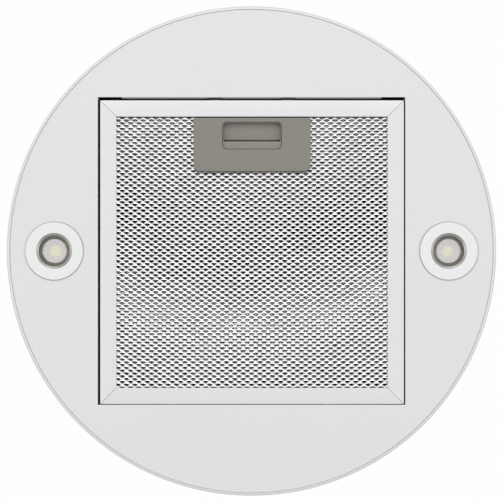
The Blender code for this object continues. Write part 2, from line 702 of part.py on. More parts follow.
def build_impeller(plastic, steel, hood):
    """Double-inlet squirrel-cage wheel on the motor's shaft: a web, two end rings and leaning blades."""
    centre = Vector((BLOWER_X, 0, BLOWER_Z))
    axis = add_axis("fan_axis", centre, hood)
    segments = TUBE_SEGMENTS // 2
    half_web = IMPELLER_RING / 2
    web = [(SHAFT_RADIUS + GAP, -HUB_RADIUS), (HUB_RADIUS, -HUB_RADIUS), (HUB_RADIUS, -half_web)]
    web += [(IMPELLER_RADIUS, -half_web), (IMPELLER_RADIUS, half_web), (HUB_RADIUS, half_web)]
    web += [(HUB_RADIUS, HUB_RADIUS / 2), (SHAFT_RADIUS + GAP, HUB_RADIUS / 2)]
    bm = bmesh.new()
    lathe(bm, web, centre, "Y", segments)
    wheel = add_piece("impeller", bm, plastic, centre, axis)

    blades = bmesh.new()
    inner = BLADE_INNER + BLADE_THICKNESS
    outer = IMPELLER_RADIUS - BLADE_THICKNESS
    length = (outer - inner) / math.cos(BLADE_LEAN)
    reach = IMPELLER_HALF - IMPELLER_RING / 2
    for k in range(BLADE_COUNT):
        angle = 2 * math.pi * k / BLADE_COUNT
        along = Vector((math.cos(angle + BLADE_LEAN), math.sin(angle + BLADE_LEAN)))
        across = Vector((-along.y, along.x)) * BLADE_THICKNESS / 2
        root = Vector((BLOWER_X, BLOWER_Z)) + Vector((math.cos(angle), math.sin(angle))) * inner
        tip = root + along * length
        outline = [root - across, tip - across, tip + across, root + across]
        prism(blades, [tuple(p) for p in outline], -reach, reach, "Y")
    join(wheel, blades)

    rings = bmesh.new()
    for side in (-1, 1):
        low, high = sorted((side * IMPELLER_HALF, side * (IMPELLER_HALF - IMPELLER_RING)))
        profile = [(BLADE_INNER, low), (IMPELLER_RADIUS, low), (IMPELLER_RADIUS, high), (BLADE_INNER, high)]
        lathe(rings, profile, centre, "Y", segments)
    join(wheel, rings)

    shaft = bmesh.new()
    front, rear = -HUB_RADIUS - SHAFT_NOSE, MOTOR_REAR - SHAFT_TAIL
    profile = [(0, front), (SHAFT_RADIUS, front), (SHAFT_RADIUS, rear), (0, rear)]
    lathe(shaft, profile, centre, "Y", 16)
    add_piece("motor_shaft", shaft, steel, centre, axis)


def build_motor(steel, hood):
    """Motor can inside the rear inlet, held by a three-armed spider screwed to the rear scroll half."""
    centre = (BLOWER_X, 0, BLOWER_Z)
    bore = SHAFT_RADIUS + 3 * GAP
    boss = MOTOR_RADIUS / 3
    step = MOTOR_STEP
    bm = bmesh.new()
    lathe(
        bm,
        [
            (bore, MOTOR_FRONT),
            (boss, MOTOR_FRONT),
            (boss, MOTOR_FRONT + step),
            (MOTOR_RADIUS - step, MOTOR_FRONT + step),
            (MOTOR_RADIUS, MOTOR_FRONT + 2 * step),
            (MOTOR_RADIUS, MOTOR_REAR - step),
            (MOTOR_RADIUS - step, MOTOR_REAR),
            (0, MOTOR_REAR),
            (0, MOTOR_REAR - step),
            (bore, MOTOR_REAR - step),
        ],
        centre,
        "Y",
        32,
    )
    add_piece("motor_body", bm, steel, parent=hood)

    ring_inner = MOTOR_RADIUS + GAP
    ring_outer = MOTOR_RADIUS + SPIDER_RING
    near = SCROLL_HALF_WIDTH + GAP
    far = near + SPIDER_SHEET
    bm = bmesh.new()
    lathe(bm, [(ring_inner, near), (ring_outer, near), (ring_outer, far), (ring_inner, far)], centre, "Y", 32)
    spider = add_piece("motor_spider", bm, steel, parent=hood)
    arms = bmesh.new()
    for k in range(3):
        angle = math.radians(90 + 120 * k)
        along = Vector((math.cos(angle), math.sin(angle)))
        across = Vector((-along.y, along.x)) * SPIDER_ARM_WIDTH / 2
        middle = Vector((BLOWER_X, BLOWER_Z))
        root = middle + along * (ring_inner + SPIDER_ARM_ROOT)
        tip = middle + along * (INLET_RADIUS + SPIDER_ARM_LAP)
        outline = [root - across, tip - across, tip + across, root + across]
        prism(arms, [tuple(p) for p in outline], near, far, "Y")
    join(spider, arms)


def build_collar(plastic, steel, hood):
    """Duct collar on the carrier plate, with two gravity flaps on one pin that stop backdraught."""
    inner = COLLAR_INNER - COLLAR_WALL
    flange_top = COLLAR_Z + CARRIER_THICKNESS
    bm = bmesh.new()
    lathe(
        bm,
        [
            (inner, COLLAR_Z),
            (COLLAR_RADIUS + COLLAR_FLANGE, COLLAR_Z),
            (COLLAR_RADIUS + COLLAR_FLANGE, flange_top),
            (COLLAR_RADIUS, flange_top),
            (COLLAR_RADIUS, COLLAR_TOP),
            (COLLAR_INNER, COLLAR_TOP),
            (COLLAR_INNER, STOP_TOP),
            (COLLAR_INNER - STOP_WIDTH, STOP_TOP),
            (COLLAR_INNER - STOP_WIDTH, STOP_TOP - STOP_THICKNESS),
            (inner, STOP_TOP - STOP_THICKNESS),
        ],
        segments=TUBE_SEGMENTS // 2,
    )
    collar = add_piece("duct_collar", bm, plastic, parent=hood)
    holes = bmesh.new()
    reach = COLLAR_RADIUS + OVERRUN
    radius = PIN_RADIUS + GAP
    lathe(holes, [(0, -reach), (radius, -reach), (radius, reach), (0, reach)], (0, 0, PIN_Z), "Y", 12)
    cut(collar, holes)

    bm = bmesh.new()
    end = COLLAR_RADIUS - GAP
    lathe(bm, [(0, -end), (PIN_RADIUS, -end), (PIN_RADIUS, end), (0, end)], (0, 0, PIN_Z), "Y", 12)
    add_piece("flap_pin", bm, steel, parent=hood)

    outer_pair = ((-OUTER_KNUCKLE_END, -OUTER_KNUCKLE_START), (OUTER_KNUCKLE_START, OUTER_KNUCKLE_END))
    spans = {"flap_left": (-1, outer_pair), "flap_right": (1, ((-MIDDLE_KNUCKLE, MIDDLE_KNUCKLE),))}
    plate_low = PIN_Z - KNUCKLE_RADIUS + GAP / 3
    clear = KNUCKLE_RADIUS + GAP
    for name, (side, knuckles) in spans.items():
        axis = add_axis(f"{name}_axis", (0, 0, PIN_Z), hood)
        limit = math.acos(clear / FLAP_RADIUS)
        half_disc = [(side * x, y) for x, y in arc((0, 0), FLAP_RADIUS, -limit, limit, 24)]
        bm = bmesh.new()
        prism(bm, half_disc, plate_low, plate_low + FLAP_THICKNESS)
        flap = add_piece(name, bm, plastic, (0, 0, PIN_Z), axis)
        bars = bmesh.new()
        for low, high in knuckles:
            near, far = sorted((side * 0.5 * KNUCKLE_RADIUS, side * (clear + KNUCKLE_BAR)))
            bar_top = plate_low + FLAP_THICKNESS - GAP / 2
            box(bars, (near, low + GAP, plate_low + GAP / 3), (far, high - GAP, bar_top))
        join(flap, bars)
        tubes = bmesh.new()
        for low, high in knuckles:
            profile = [(0, low), (KNUCKLE_RADIUS, low), (KNUCKLE_RADIUS, high), (0, high)]
            lathe(tubes, profile, (0, 0, PIN_Z), "Y", 16)
        join(flap, tubes)
        bores = bmesh.new()
        for low, high in knuckles:
            low, high = low - GAP * 4, high + GAP * 4
            profile = [(0, low), (radius, low), (radius, high), (0, high)]
            lathe(bores, profile, (0, 0, PIN_Z), "Y", 12)
        cut(flap, bores)


# ---------------------------------------------------------------- electronics
def build_electronics(plastic, board_green, steel, hood):
    """Cover, board and cable gland on one side of the carrier plate, and the motor capacitor on the other."""
    floor = CARRIER_TOP + GAP
    outer_x = -math.sqrt((UPPER_SHELL_INNER - COVER_TO_SHELL) ** 2 - (COVER_LENGTH / 2) ** 2)
    inner_x = -(COLLAR_RADIUS + COLLAR_FLANGE + COVER_TO_COLLAR)
    half = COVER_LENGTH / 2
    top = floor + COVER_HEIGHT
    middle = (outer_x + inner_x) / 2
    bm = bmesh.new()
    box(bm, (outer_x, -half, floor), (inner_x, half, top))
    cover = add_piece("electronics_cover", bm, plastic, parent=hood)
    hollow = bmesh.new()
    wall = COVER_WALL
    box(hollow, (outer_x + wall, wall - half, floor - OVERRUN), (inner_x - wall, half - wall, top - wall))
    cut(cover, hollow)
    hole = bmesh.new()
    radius = GLAND_RADIUS + GAP
    low, high = top - 2 * wall, top + OVERRUN
    lathe(hole, [(0, low), (radius, low), (radius, high), (0, high)], (middle, 0, 0), segments=16)
    cut(cover, hole)

    flange = top + GAP
    bm = bmesh.new()
    lathe(
        bm,
        [
            (GLAND_BORE, top - 3 * wall),
            (GLAND_RADIUS, top - 3 * wall),
            (GLAND_RADIUS, flange),
            (GLAND_NUT_RADIUS, flange),
            (GLAND_NUT_RADIUS, flange + GLAND_NUT_HEIGHT),
            (GLAND_NECK_RADIUS, flange + GLAND_NUT_HEIGHT),
            (GLAND_RADIUS, flange + GLAND_HEIGHT),
            (GLAND_BORE, flange + GLAND_HEIGHT),
        ],
        (middle, 0, 0),
        segments=16,
    )
    add_piece("cable_gland", bm, plastic, parent=hood)

    board_z = floor + BOARD_LIFT
    inset = wall + BOARD_MARGIN
    left, right = outer_x + inset, inner_x - inset
    end = half - inset
    bm = bmesh.new()
    box(bm, (left, -end, board_z), (right, end, board_z + BOARD_THICKNESS))
    board = add_piece("control_electronics", bm, board_green, parent=hood)
    parts = bmesh.new()
    middle_board = board_z + BOARD_THICKNESS / 2
    for x, y in ((left, -end), (left, end), (right, -end), (right, end)):
        foot = Vector((x, y))
        foot.x += BOARD_FOOT if x == left else -BOARD_FOOT
        foot.y += BOARD_FOOT if y < 0 else -BOARD_FOOT
        half_foot = BOARD_FOOT / 2
        low = (foot.x - half_foot, foot.y - half_foot, floor)
        box(parts, low, (foot.x + half_foot, foot.y + half_foot, middle_board))
    for y, width, height in BOARD_PARTS:
        reach = width * BOARD_PART_ASPECT / 2
        low = (middle - width / 2, y - reach, middle_board)
        box(parts, low, (middle + width / 2, y + reach, middle_board + height))
    join(board, parts)

    centre = (-middle, 0, floor + CAPACITOR_RADIUS)
    reach = CAPACITOR_LENGTH / 2
    bm = bmesh.new()
    profile = [(0, -reach), (CAPACITOR_RADIUS, -reach), (CAPACITOR_RADIUS, reach), (TERMINAL, reach)]
    profile += [(TERMINAL, reach + TERMINAL), (0, reach + TERMINAL)]
    lathe(bm, profile, centre, "Y", 24)
    add_piece("motor_capacitor", bm, steel, parent=hood)


# ---------------------------------------------------------------- lights
def build_light(side, name, materials, hood):
    """Turned body with a flat bezel, a lens, a bright cone, an LED board and a spring strap."""
    centre = (side * LIGHT_X, 0, 0)
    cavity = LIGHT_BODY_RADIUS - LIGHT_BODY_WALL
    seat = BEZEL_THICKNESS + 2 * GAP
    roof = LIGHT_BODY_HEIGHT - LIGHT_HEADROOM
    narrow = APERTURE_RADIUS - APERTURE_CHAMFER
    bm = bmesh.new()
    lathe(
        bm,
        [
            (APERTURE_RADIUS, 0),
            (BEZEL_RADIUS - GAP, 0),
            (BEZEL_RADIUS, GAP),
            (BEZEL_RADIUS, BEZEL_THICKNESS),
            (LIGHT_BODY_RADIUS, BEZEL_THICKNESS),
            (LIGHT_BODY_RADIUS, LIGHT_BODY_HEIGHT),
            (0, LIGHT_BODY_HEIGHT),
            (0, roof),
            (cavity, roof),
            (cavity, seat),
            (narrow, seat),
            (narrow, BEZEL_THICKNESS),
        ],
        centre,
        segments=LIGHT_SEGMENTS,
    )
    add_piece(f"light_body_{name}", bm, materials["bezel"], parent=hood)

    lens_low = seat + GAP
    lens_high = lens_low + LENS_THICKNESS
    radius = cavity - GAP
    bm = bmesh.new()
    profile = [(0, lens_low), (radius, lens_low), (radius, lens_high), (0, lens_high)]
    lathe(bm, profile, centre, segments=LIGHT_SEGMENTS)
    add_piece(f"light_lens_{name}", bm, materials["glass"], parent=hood)

    board_high = roof - GAP
    board_low = board_high - LED_BOARD_THICKNESS
    cone_low, cone_high = lens_high + GAP, board_low - GAP
    wide, throat, wall = narrow, CONE_THROAT, CONE_WALL
    bm = bmesh.new()
    profile = [(wide, cone_low), (radius, cone_low), (radius, cone_low + wall)]
    profile += [(throat + wall, cone_high), (throat, cone_high)]
    lathe(bm, profile, centre, segments=LIGHT_SEGMENTS)
    add_piece(f"light_reflector_{name}", bm, materials["chrome"], parent=hood)

    chip_low = board_low - LED_CHIP_HEIGHT
    bm = bmesh.new()
    profile = [(0, chip_low), (LED_CHIP_RADIUS, chip_low), (LED_CHIP_RADIUS, board_low)]
    profile += [(radius, board_low), (radius, board_high), (0, board_high)]
    lathe(bm, profile, centre, segments=LIGHT_SEGMENTS)
    add_piece(f"led_board_{name}", bm, materials["led"], parent=hood)

    strap = STRAP_SHEET
    top = LIGHT_BODY_HEIGHT + GAP
    leg = LIGHT_BODY_RADIUS + 3 * GAP
    foot = PLATE_TOP + GAP
    toe = leg + STRAP_TOE
    half_outline = [(leg, top), (leg, foot + STRAP_BEND), (toe, foot), (toe + strap, foot)]
    half_outline += [(leg + strap, foot + STRAP_BEND + strap), (leg + strap, top + strap)]
    outline = half_outline + [(-x, z) for x, z in reversed(half_outline)]
    outline = [(x + centre[0], z) for x, z in outline]
    bm = bmesh.new()
    prism(bm, outline, -STRAP_WIDTH / 2, STRAP_WIDTH / 2, "Y")
    add_piece(f"light_spring_{name}", bm, materials["steel"], parent=hood)


# ---------------------------------------------------------------- controls
def band(inner, outer, half_angle, steps=12):
    """A stretch of ring in the XY plane, on the -Y side."""
    start, end = -math.pi / 2 - half_angle, -math.pi / 2 + half_angle
    return arc((0, 0), outer, start, end, steps) + arc((0, 0), inner, end, start, steps)


def build_controls(trim, plastic, board_green, hood):
    """Curved button strip in the front of the lower shell, four sprung buttons and the board behind them."""
    inset_angle = GAP / SHELL_RADIUS
    inner = SHELL_INNER - CONTROL_DEPTH
    face = SHELL_RADIUS + CONTROL_PROUD
    low = CONTROL_HEIGHT - CONTROL_BAND / 2
    high = CONTROL_HEIGHT + CONTROL_BAND / 2
    lip_angle = CONTROL_LIP / SHELL_RADIUS
    bm = bmesh.new()
    behind = band(inner, SHELL_INNER - GAP, CONTROL_HALF_ANGLE + lip_angle)
    prism(bm, behind, low - CONTROL_LIP, high + CONTROL_LIP)
    strip = add_piece("control_strip", bm, trim, parent=hood)
    front = bmesh.new()
    prism(front, band(inner + 0.001, face, CONTROL_HALF_ANGLE - 2 * inset_angle), low + GAP, high - GAP)
    join(strip, front)

    collar_radius = BUTTON_RADIUS + BUTTON_COLLAR
    count = len(BUTTON_NAMES)
    places = [(k - (count - 1) / 2) * BUTTON_PITCH for k in range(count)]
    collar_y = -math.sqrt(inner**2 - (places[-1] + collar_radius) ** 2) + GAP
    stem_y = collar_y + BUTTON_COLLAR + BUTTON_STEM
    board_y = stem_y + BUTTON_TRAVEL + GAP
    holes = bmesh.new()
    for x in places:
        radius = BUTTON_RADIUS + GAP
        near, far = -SHELL_RADIUS - OVERRUN, collar_y + OVERRUN
        lathe(holes, [(0, near), (radius, near), (radius, far), (0, far)], (x, 0, CONTROL_HEIGHT), "Y", 24)
    cut(strip, holes)

    for name, x in zip(BUTTON_NAMES, places, strict=True):
        cap = -math.sqrt(face**2 - x**2) - BUTTON_PROUD
        origin = (x, cap, CONTROL_HEIGHT)
        axis = add_axis(f"{name}_axis", origin, hood)
        bevel = GAP * 1.5
        profile = [
            (0, cap),
            (BUTTON_RADIUS - bevel, cap),
            (BUTTON_RADIUS, cap + bevel),
            (BUTTON_RADIUS, collar_y),
            (collar_radius, collar_y),
            (collar_radius, collar_y + BUTTON_COLLAR),
            (BUTTON_STEM / 2, collar_y + BUTTON_COLLAR),
            (BUTTON_STEM / 2, stem_y),
            (0, stem_y),
        ]
        bm = bmesh.new()
        lathe(bm, profile, (x, 0, CONTROL_HEIGHT), "Y", 24)
        add_piece(name, bm, plastic, origin, axis)

    reach = places[-1] + collar_radius + BUTTON_BOARD_MARGIN
    half = CONTROL_BAND / 2 + CONTROL_LIP
    bm = bmesh.new()
    low, high = CONTROL_HEIGHT - half, CONTROL_HEIGHT + half
    box(bm, (-reach, board_y, low), (reach, board_y + BOARD_THICKNESS, high))
    board = add_piece("button_board", bm, board_green, parent=hood)
    posts = bmesh.new()
    for side in (-1, 1):
        x = side * (reach - BUTTON_BOARD_POST_INSET)
        half_post = BUTTON_BOARD_POST / 2
        near = -math.sqrt(inner**2 - (abs(x) + half_post) ** 2) + 2 * GAP
        low = (x - half_post, near, CONTROL_HEIGHT - BUTTON_BOARD_POST_INSET)
        box(posts, low, (x + half_post, board_y + GAP, CONTROL_HEIGHT + BUTTON_BOARD_POST_INSET))
    join(board, posts)


# ---------------------------------------------------------------- grease filter
def build_filter(materials, hood):
    """Four mitred channels round a pack of expanded mesh. It swings down about its rear edge."""
    axis = add_axis("filter_axis", (FILTER_SHIFT_X, HINGE_Y, FILTER_Z), hood)
    origin = axis.matrix_world.translation.copy()
    z_low, z_high = FILTER_Z, FILTER_TOP
    channel = [
        (0, z_low),
        (STRIP_WIDTH, z_low),
        (STRIP_WIDTH, z_low + STRIP_WALL),
        (STRIP_WALL, z_low + STRIP_WALL),
        (STRIP_WALL, z_high - STRIP_WALL),
        (STRIP_WIDTH, z_high - STRIP_WALL),
        (STRIP_WIDTH, z_high),
        (0, z_high),
    ]
    strips = {}
    for k, name in enumerate(("front", "right", "rear", "left")):
        bm = bmesh.new()
        ends = []
        for sign in (-1, 1):
            loop = []
            for inward, z in channel:
                x = sign * (FILTER_HALF - inward - MITRE_GAP / 2)
                loop.append(bm.verts.new((x, inward - FILTER_HALF, z)))
            bm.faces.new(loop)
            ends.append(loop)
        for i in range(len(channel)):
            j = (i + 1) % len(channel)
            bm.faces.new((ends[0][i], ends[0][j], ends[1][j], ends[1][i]))
        turn = Matrix.Rotation(k * math.pi / 2, 4, "Z")
        place = Matrix.Translation((FILTER_SHIFT_X, FILTER_SHIFT_Y, 0))
        bmesh.ops.transform(bm, matrix=place @ turn, verts=bm.verts)
        strips[name] = add_piece(f"filter_frame_{name}", bm, materials["frame"], origin, axis)

    slots = bmesh.new()
    tabs = bmesh.new()
    for side in (-1, 1):
        middle = FILTER_SHIFT_X + side * TONGUE_SPACING / 2
        half = TONGUE_WIDTH / 2 + GAP
        low = (middle - half, FILTER_FRONT - OVERRUN, TONGUE_Z - GAP)
        box(slots, low, (middle + half, FILTER_FRONT + OVERRUN, TONGUE_Z + TONGUE_THICKNESS + GAP))
        middle = FILTER_SHIFT_X + side * REAR_TAB_SPACING / 2
        half = REAR_TAB_WIDTH / 2
        low = (middle - half, FILTER_REAR - STRIP_WALL / 2, REAR_TAB_Z)
        box(tabs, low, (middle + half, FILTER_REAR + REAR_TAB_LENGTH, REAR_TAB_Z + REAR_TAB_THICKNESS))
    cut(strips["front"], slots)
    join(strips["rear"], tabs)

    side_x = FILTER_HALF - STRIP_WALL - GAP
    notch = HANDLE_WIDTH / 2 - HANDLE_WALL
    notch_rear = HANDLE_REAR - HANDLE_WALL
    left, right = FILTER_SHIFT_X - side_x, FILTER_SHIFT_X + side_x
    front, rear = FILTER_SHIFT_Y - side_x, FILTER_SHIFT_Y + side_x
    outline = [(left, front), (FILTER_SHIFT_X - notch, front), (FILTER_SHIFT_X - notch, notch_rear)]
    outline += [(FILTER_SHIFT_X + notch, notch_rear), (FILTER_SHIFT_X + notch, front), (right, front)]
    outline += [(right, rear), (left, rear)]
    layers = {
        "filter_mesh_front": (MESH_Z, MESH_Z + MESH_FRONT_THICKNESS),
        "filter_mesh_pack": (MESH_Z + MESH_FRONT_THICKNESS + GAP, FILTER_TOP - STRIP_WALL - GAP),
    }
    for name, (low, high) in layers.items():
        bm = bmesh.new()
        prism(bm, outline, low, high)
        add_piece(name, bm, materials["mesh"], origin, axis)
    return axis, origin


def build_handle(materials, filter_axis, origin):
    """Moulded handle with a finger recess, and the sprung slider behind it that carries two tongues."""
    x0 = FILTER_SHIFT_X
    half = HANDLE_WIDTH / 2
    recess = RECESS_WIDTH / 2
    bm = bmesh.new()
    face = rounded_rectangle(x0 - half, HANDLE_FRONT, x0 + half, HANDLE_REAR, 0, HANDLE_CORNER)
    prism(bm, face, HANDLE_Z, HANDLE_Z + HANDLE_THICKNESS)
    handle = add_piece("handle_plate", bm, materials["handle"], origin, filter_axis)

    wall_x = half - HANDLE_WALL - GAP
    wall_front = HANDLE_FRONT
    wall_rear = HANDLE_REAR - HANDLE_WALL - GAP
    inner_x = wall_x - HANDLE_WALL
    inner_front, inner_rear = wall_front + HANDLE_WALL, wall_rear - HANDLE_WALL
    body = bmesh.new()
    low = (x0 - wall_x, wall_front, HANDLE_Z + HANDLE_THICKNESS / 2)
    box(body, low, (x0 + wall_x, wall_rear, HANDLE_BODY_TOP))
    join(handle, body)
    hollow = bmesh.new()
    low = (x0 - inner_x, inner_front, HANDLE_Z + HANDLE_THICKNESS)
    box(hollow, low, (x0 + inner_x, inner_rear, HANDLE_BODY_TOP + OVERRUN))
    cut(handle, hollow)
    openings = bmesh.new()
    corner = RECESS_CORNER
    aperture = rounded_rectangle(x0 - recess, RECESS_FRONT, x0 + recess, RECESS_REAR, corner, corner)
    prism(openings, aperture, HANDLE_Z - OVERRUN, HANDLE_Z + HANDLE_THICKNESS + GAP / 2)
    for side in (-1, 1):
        middle = x0 + side * TONGUE_SPACING / 2
        reach = TONGUE_WIDTH / 2 + GAP
        low = (middle - reach, wall_front - OVERRUN, TONGUE_Z - GAP)
        box(openings, low, (middle + reach, inner_front + GAP, TONGUE_Z + TONGUE_THICKNESS + GAP))
    cut(handle, openings)

    latch = add_axis("latch_axis", (x0, RECESS_REAR - GRIP_BAR, SLIDER_Z), filter_axis)
    latch_origin = latch.matrix_world.translation.copy()
    slider_front = inner_front + GAP
    slider_rear = inner_rear - LATCH_TRAVEL - GAP
    slider_x = inner_x - GAP
    plate_top = SLIDER_Z + SLIDER_PLATE
    bm = bmesh.new()
    box(bm, (x0 - slider_x, slider_front, SLIDER_Z), (x0 + slider_x, slider_rear, plate_top))
    slider = add_piece("latch_slider", bm, materials["handle"], latch_origin, latch)
    pocket_rear = RECESS_REAR - GRIP_BAR
    embed = plate_top - SLIDER_PLATE / 3
    floor = SLIDER_Z + POCKET_DEPTH
    scoop = bmesh.new()
    low = (x0 - recess - POCKET_WALL, slider_front + GAP, embed)
    box(scoop, low, (x0 + recess + POCKET_WALL, pocket_rear + POCKET_WALL, floor + POCKET_WALL / 2))
    join(slider, scoop)
    lug_x = recess + POCKET_WALL + 2 * SPRING_RADIUS + LUG_TO_SPRING_EDGE
    lug_y = RECESS_REAR - LUG_TO_RECESS_REAR
    spring_z = plate_top + GAP + SPRING_RADIUS + SPRING_WIRE
    lugs = bmesh.new()
    blocks = bmesh.new()
    for side in (-1, 1):
        middle = x0 + side * lug_x
        low = (middle - LUG_WIDTH / 2, lug_y, embed)
        box(lugs, low, (middle + LUG_WIDTH / 2, lug_y + LUG_THICKNESS, spring_z + SPRING_RADIUS))
        middle = x0 + side * TONGUE_SPACING / 2
        reach = TONGUE_WIDTH / 2
        block_front = slider_front + BLOCK_INSET
        low = (middle - reach + GAP, block_front, embed)
        box(blocks, low, (middle + reach - GAP, block_front + BLOCK_LENGTH, TONGUE_Z + TONGUE_THICKNESS / 2))
    join(slider, lugs)
    join(slider, blocks)
    tongues = bmesh.new()
    tip = -OPENING_HALF - TONGUE_REACH
    for side in (-1, 1):
        middle = x0 + side * TONGUE_SPACING / 2
        reach = TONGUE_WIDTH / 2
        high = (middle + reach, slider_front + TONGUE_ROOT, TONGUE_Z + TONGUE_THICKNESS)
        box(tongues, (middle - reach, tip, TONGUE_Z), high)
    join(slider, tongues)
    pocket = bmesh.new()
    low = (x0 - recess, RECESS_FRONT, SLIDER_Z - OVERRUN)
    box(pocket, low, (x0 + recess, pocket_rear, floor - POCKET_WALL / 2))
    cut(slider, pocket)

    start = lug_y + LUG_THICKNESS + GAP + SPRING_WIRE
    end = inner_rear - GAP - SPRING_WIRE
    steps = SPRING_STEPS
    for side, name in ((-1, "latch_spring_left"), (1, "latch_spring_right")):
        points = []
        for k in range(SPRING_TURNS * steps + 1):
            share = k / (SPRING_TURNS * steps)
            angle = 2 * math.pi * k / steps
            x = x0 + side * lug_x + SPRING_RADIUS * math.cos(angle)
            z = spring_z + SPRING_RADIUS * math.sin(angle)
            points.append((x, start + (end - start) * share, z))
        add_wire(name, points, SPRING_WIRE, materials["steel"], filter_axis)


def add_wire(name, points, radius, material, parent):
    """A round wire through a list of points, as a curve with a round bevel and filled ends."""
    curve = bpy.data.curves.new(name, "CURVE")
    curve.dimensions = "3D"
    curve.bevel_depth = radius
    curve.bevel_resolution = 1
    curve.use_fill_caps = True
    spline = curve.splines.new("POLY")
    spline.points.add(len(points) - 1)
    for point, place in zip(spline.points, points, strict=True):
        point.co = (*place, 1.0)
    curve.materials.append(material)
    wire = bpy.data.objects.new(name, curve)
    bpy.context.scene.collection.objects.link(wire)
    wire.parent = parent
    wire.matrix_parent_inverse = parent.matrix_world.inverted()
    weld = wire.modifiers.new("close_ends", "WELD")
    weld.merge_threshold = 1e-6


# ---------------------------------------------------------------- the hood
def main():
    clear_scene()
    paint = make_material("white_paint", (0.75, 0.75, 0.76), 0.35)
    steel = make_material("zinc_plated_steel", (0.55, 0.56, 0.57), 0.4, 0.9)
    frame = make_material("satin_aluminium", (0.76, 0.76, 0.77), 0.38, 0.6)
    mesh = make_material("bright_aluminium_mesh", (0.85, 0.85, 0.86), 0.25, 1.0)
    handle = make_material("taupe_plastic", (0.26, 0.25, 0.225), 0.5)
    dark = make_material("dark_plastic", (0.08, 0.08, 0.085), 0.5)
    button = make_material("grey_plastic", (0.42, 0.42, 0.43), 0.4)
    board = make_material("circuit_board_green", (0.05, 0.22, 0.10), 0.5)
    light = {
        "bezel": make_material("white_bezel", (0.83, 0.83, 0.83), 0.3),
        "glass": make_material("clear_lens", (0.95, 0.95, 0.95), 0.05, alpha=0.35),
        "chrome": make_material("bright_reflector", (0.8, 0.8, 0.8), 0.1, 1.0),
        "led": make_material("led_phosphor", (0.80, 0.76, 0.50), 0.5),
        "steel": steel,
    }
    materials = {"frame": frame, "mesh": mesh, "handle": handle, "steel": steel}

    build_upper_shell(paint)
    hood = add_axis("height_axis", (0, 0, 0))
    build_frame(steel, hood)
    build_lower_shell(paint, hood)
    build_bottom_plate(paint, hood)
    build_brackets(steel, hood)
    build_carrier(steel, hood)
    build_scroll(dark, hood)
    build_impeller(dark, steel, hood)
    build_motor(steel, hood)
    build_collar(dark, steel, hood)
    build_electronics(dark, board, steel, hood)
    for side, name in ((-1, "left"), (1, "right")):
        build_light(side, name, light, hood)
    build_controls(frame, button, board, hood)
    filter_axis, origin = build_filter(materials, hood)
    build_handle(materials, filter_axis, origin)


main()
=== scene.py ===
"""Looks of the round island range hood, in metres, +Z up, -Y towards the user.

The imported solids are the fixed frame. Each visible sheet, extrusion, mesh layer and moulding is
worked out again here as a fine surface, and rides on the body whose solid it stands for.
"""

import math

import bmesh
import bpy
import numpy as np
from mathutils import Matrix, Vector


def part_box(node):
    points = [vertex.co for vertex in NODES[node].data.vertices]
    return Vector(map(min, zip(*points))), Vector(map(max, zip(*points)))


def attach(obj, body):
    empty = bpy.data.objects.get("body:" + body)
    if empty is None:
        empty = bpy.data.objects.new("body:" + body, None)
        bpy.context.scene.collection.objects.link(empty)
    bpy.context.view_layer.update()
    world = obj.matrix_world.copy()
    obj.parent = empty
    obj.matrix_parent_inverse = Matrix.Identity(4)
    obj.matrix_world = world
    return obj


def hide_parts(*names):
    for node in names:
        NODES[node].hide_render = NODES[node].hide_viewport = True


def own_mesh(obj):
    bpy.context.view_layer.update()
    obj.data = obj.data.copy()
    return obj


bl_info = {
    "name": "Round island hood",
    "version": (1, 0, 0),
    "blender": (4, 5, 0),
    "location": "View3D > Sidebar > Hood",
    "description": "Fine surfaces and finishes of a round island range hood",
    "category": "Object",
}

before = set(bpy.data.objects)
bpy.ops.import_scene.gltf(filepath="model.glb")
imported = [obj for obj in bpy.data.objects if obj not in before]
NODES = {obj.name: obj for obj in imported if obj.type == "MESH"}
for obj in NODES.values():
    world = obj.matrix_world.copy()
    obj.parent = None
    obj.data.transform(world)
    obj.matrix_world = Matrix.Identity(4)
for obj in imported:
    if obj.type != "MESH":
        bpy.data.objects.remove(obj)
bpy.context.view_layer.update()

GAP = 0.0003  # between two touching pieces
SHEET = 0.0012  # painted steel
TURN = 2 * math.pi
ROUND = 384  # steps round the big shells


# ---------------------------------------------------------------- sizes from the frame
def low(node):
    return np.array(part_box(node)[0])


def high(node):
    return np.array(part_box(node)[1])


SHELL_R = float(high("lower_shell")[0])
SHELL_TOP = float(high("lower_shell")[2])
RIM_Z = float(low("lower_shell")[2])
UPPER_R = float(high("upper_shell")[0])
UPPER_LOW = float(low("upper_shell")[2])
UPPER_TOP = float(high("upper_shell")[2])
PLATE_R = float(high("bottom_plate")[0])
PLATE_Z = float(low("bottom_plate")[2])
PLATE_HIGH = float(high("bottom_plate")[2])
FILTER_X = float(low("filter_frame_front")[0] + high("filter_frame_front")[0]) / 2
FILTER_LOW = low("filter_frame_left")
FILTER_HIGH = high("filter_frame_left")
FILTER_HALF = float(FILTER_HIGH[1] - FILTER_LOW[1]) / 2
FILTER_Y = float(FILTER_HIGH[1] + FILTER_LOW[1]) / 2
STRIP = float(FILTER_HIGH[0] - FILTER_LOW[0])
OPENING = FILTER_HALF + 0.0015
HANDLE_LOW = low("handle_plate")
HANDLE_HIGH = high("handle_plate")
SLIDER_LOW = low("latch_slider")
SLIDER_HIGH = high("latch_slider")
LIGHT_R = float(high("light_body_right")[0] - low("light_body_right")[0]) / 2
LIGHT_X = float(high("light_body_right")[0] + low("light_body_right")[0]) / 2
RECESS_INSET = 0.0035  # from the handle's front edge
HANDLE_SET_BACK = 0.0004  # of the visible moulding behind the solid's front face
STRIP_BAND = (low("control_strip"), high("control_strip"))
CONTROL_Z = float(STRIP_BAND[0][2] + STRIP_BAND[1][2]) / 2


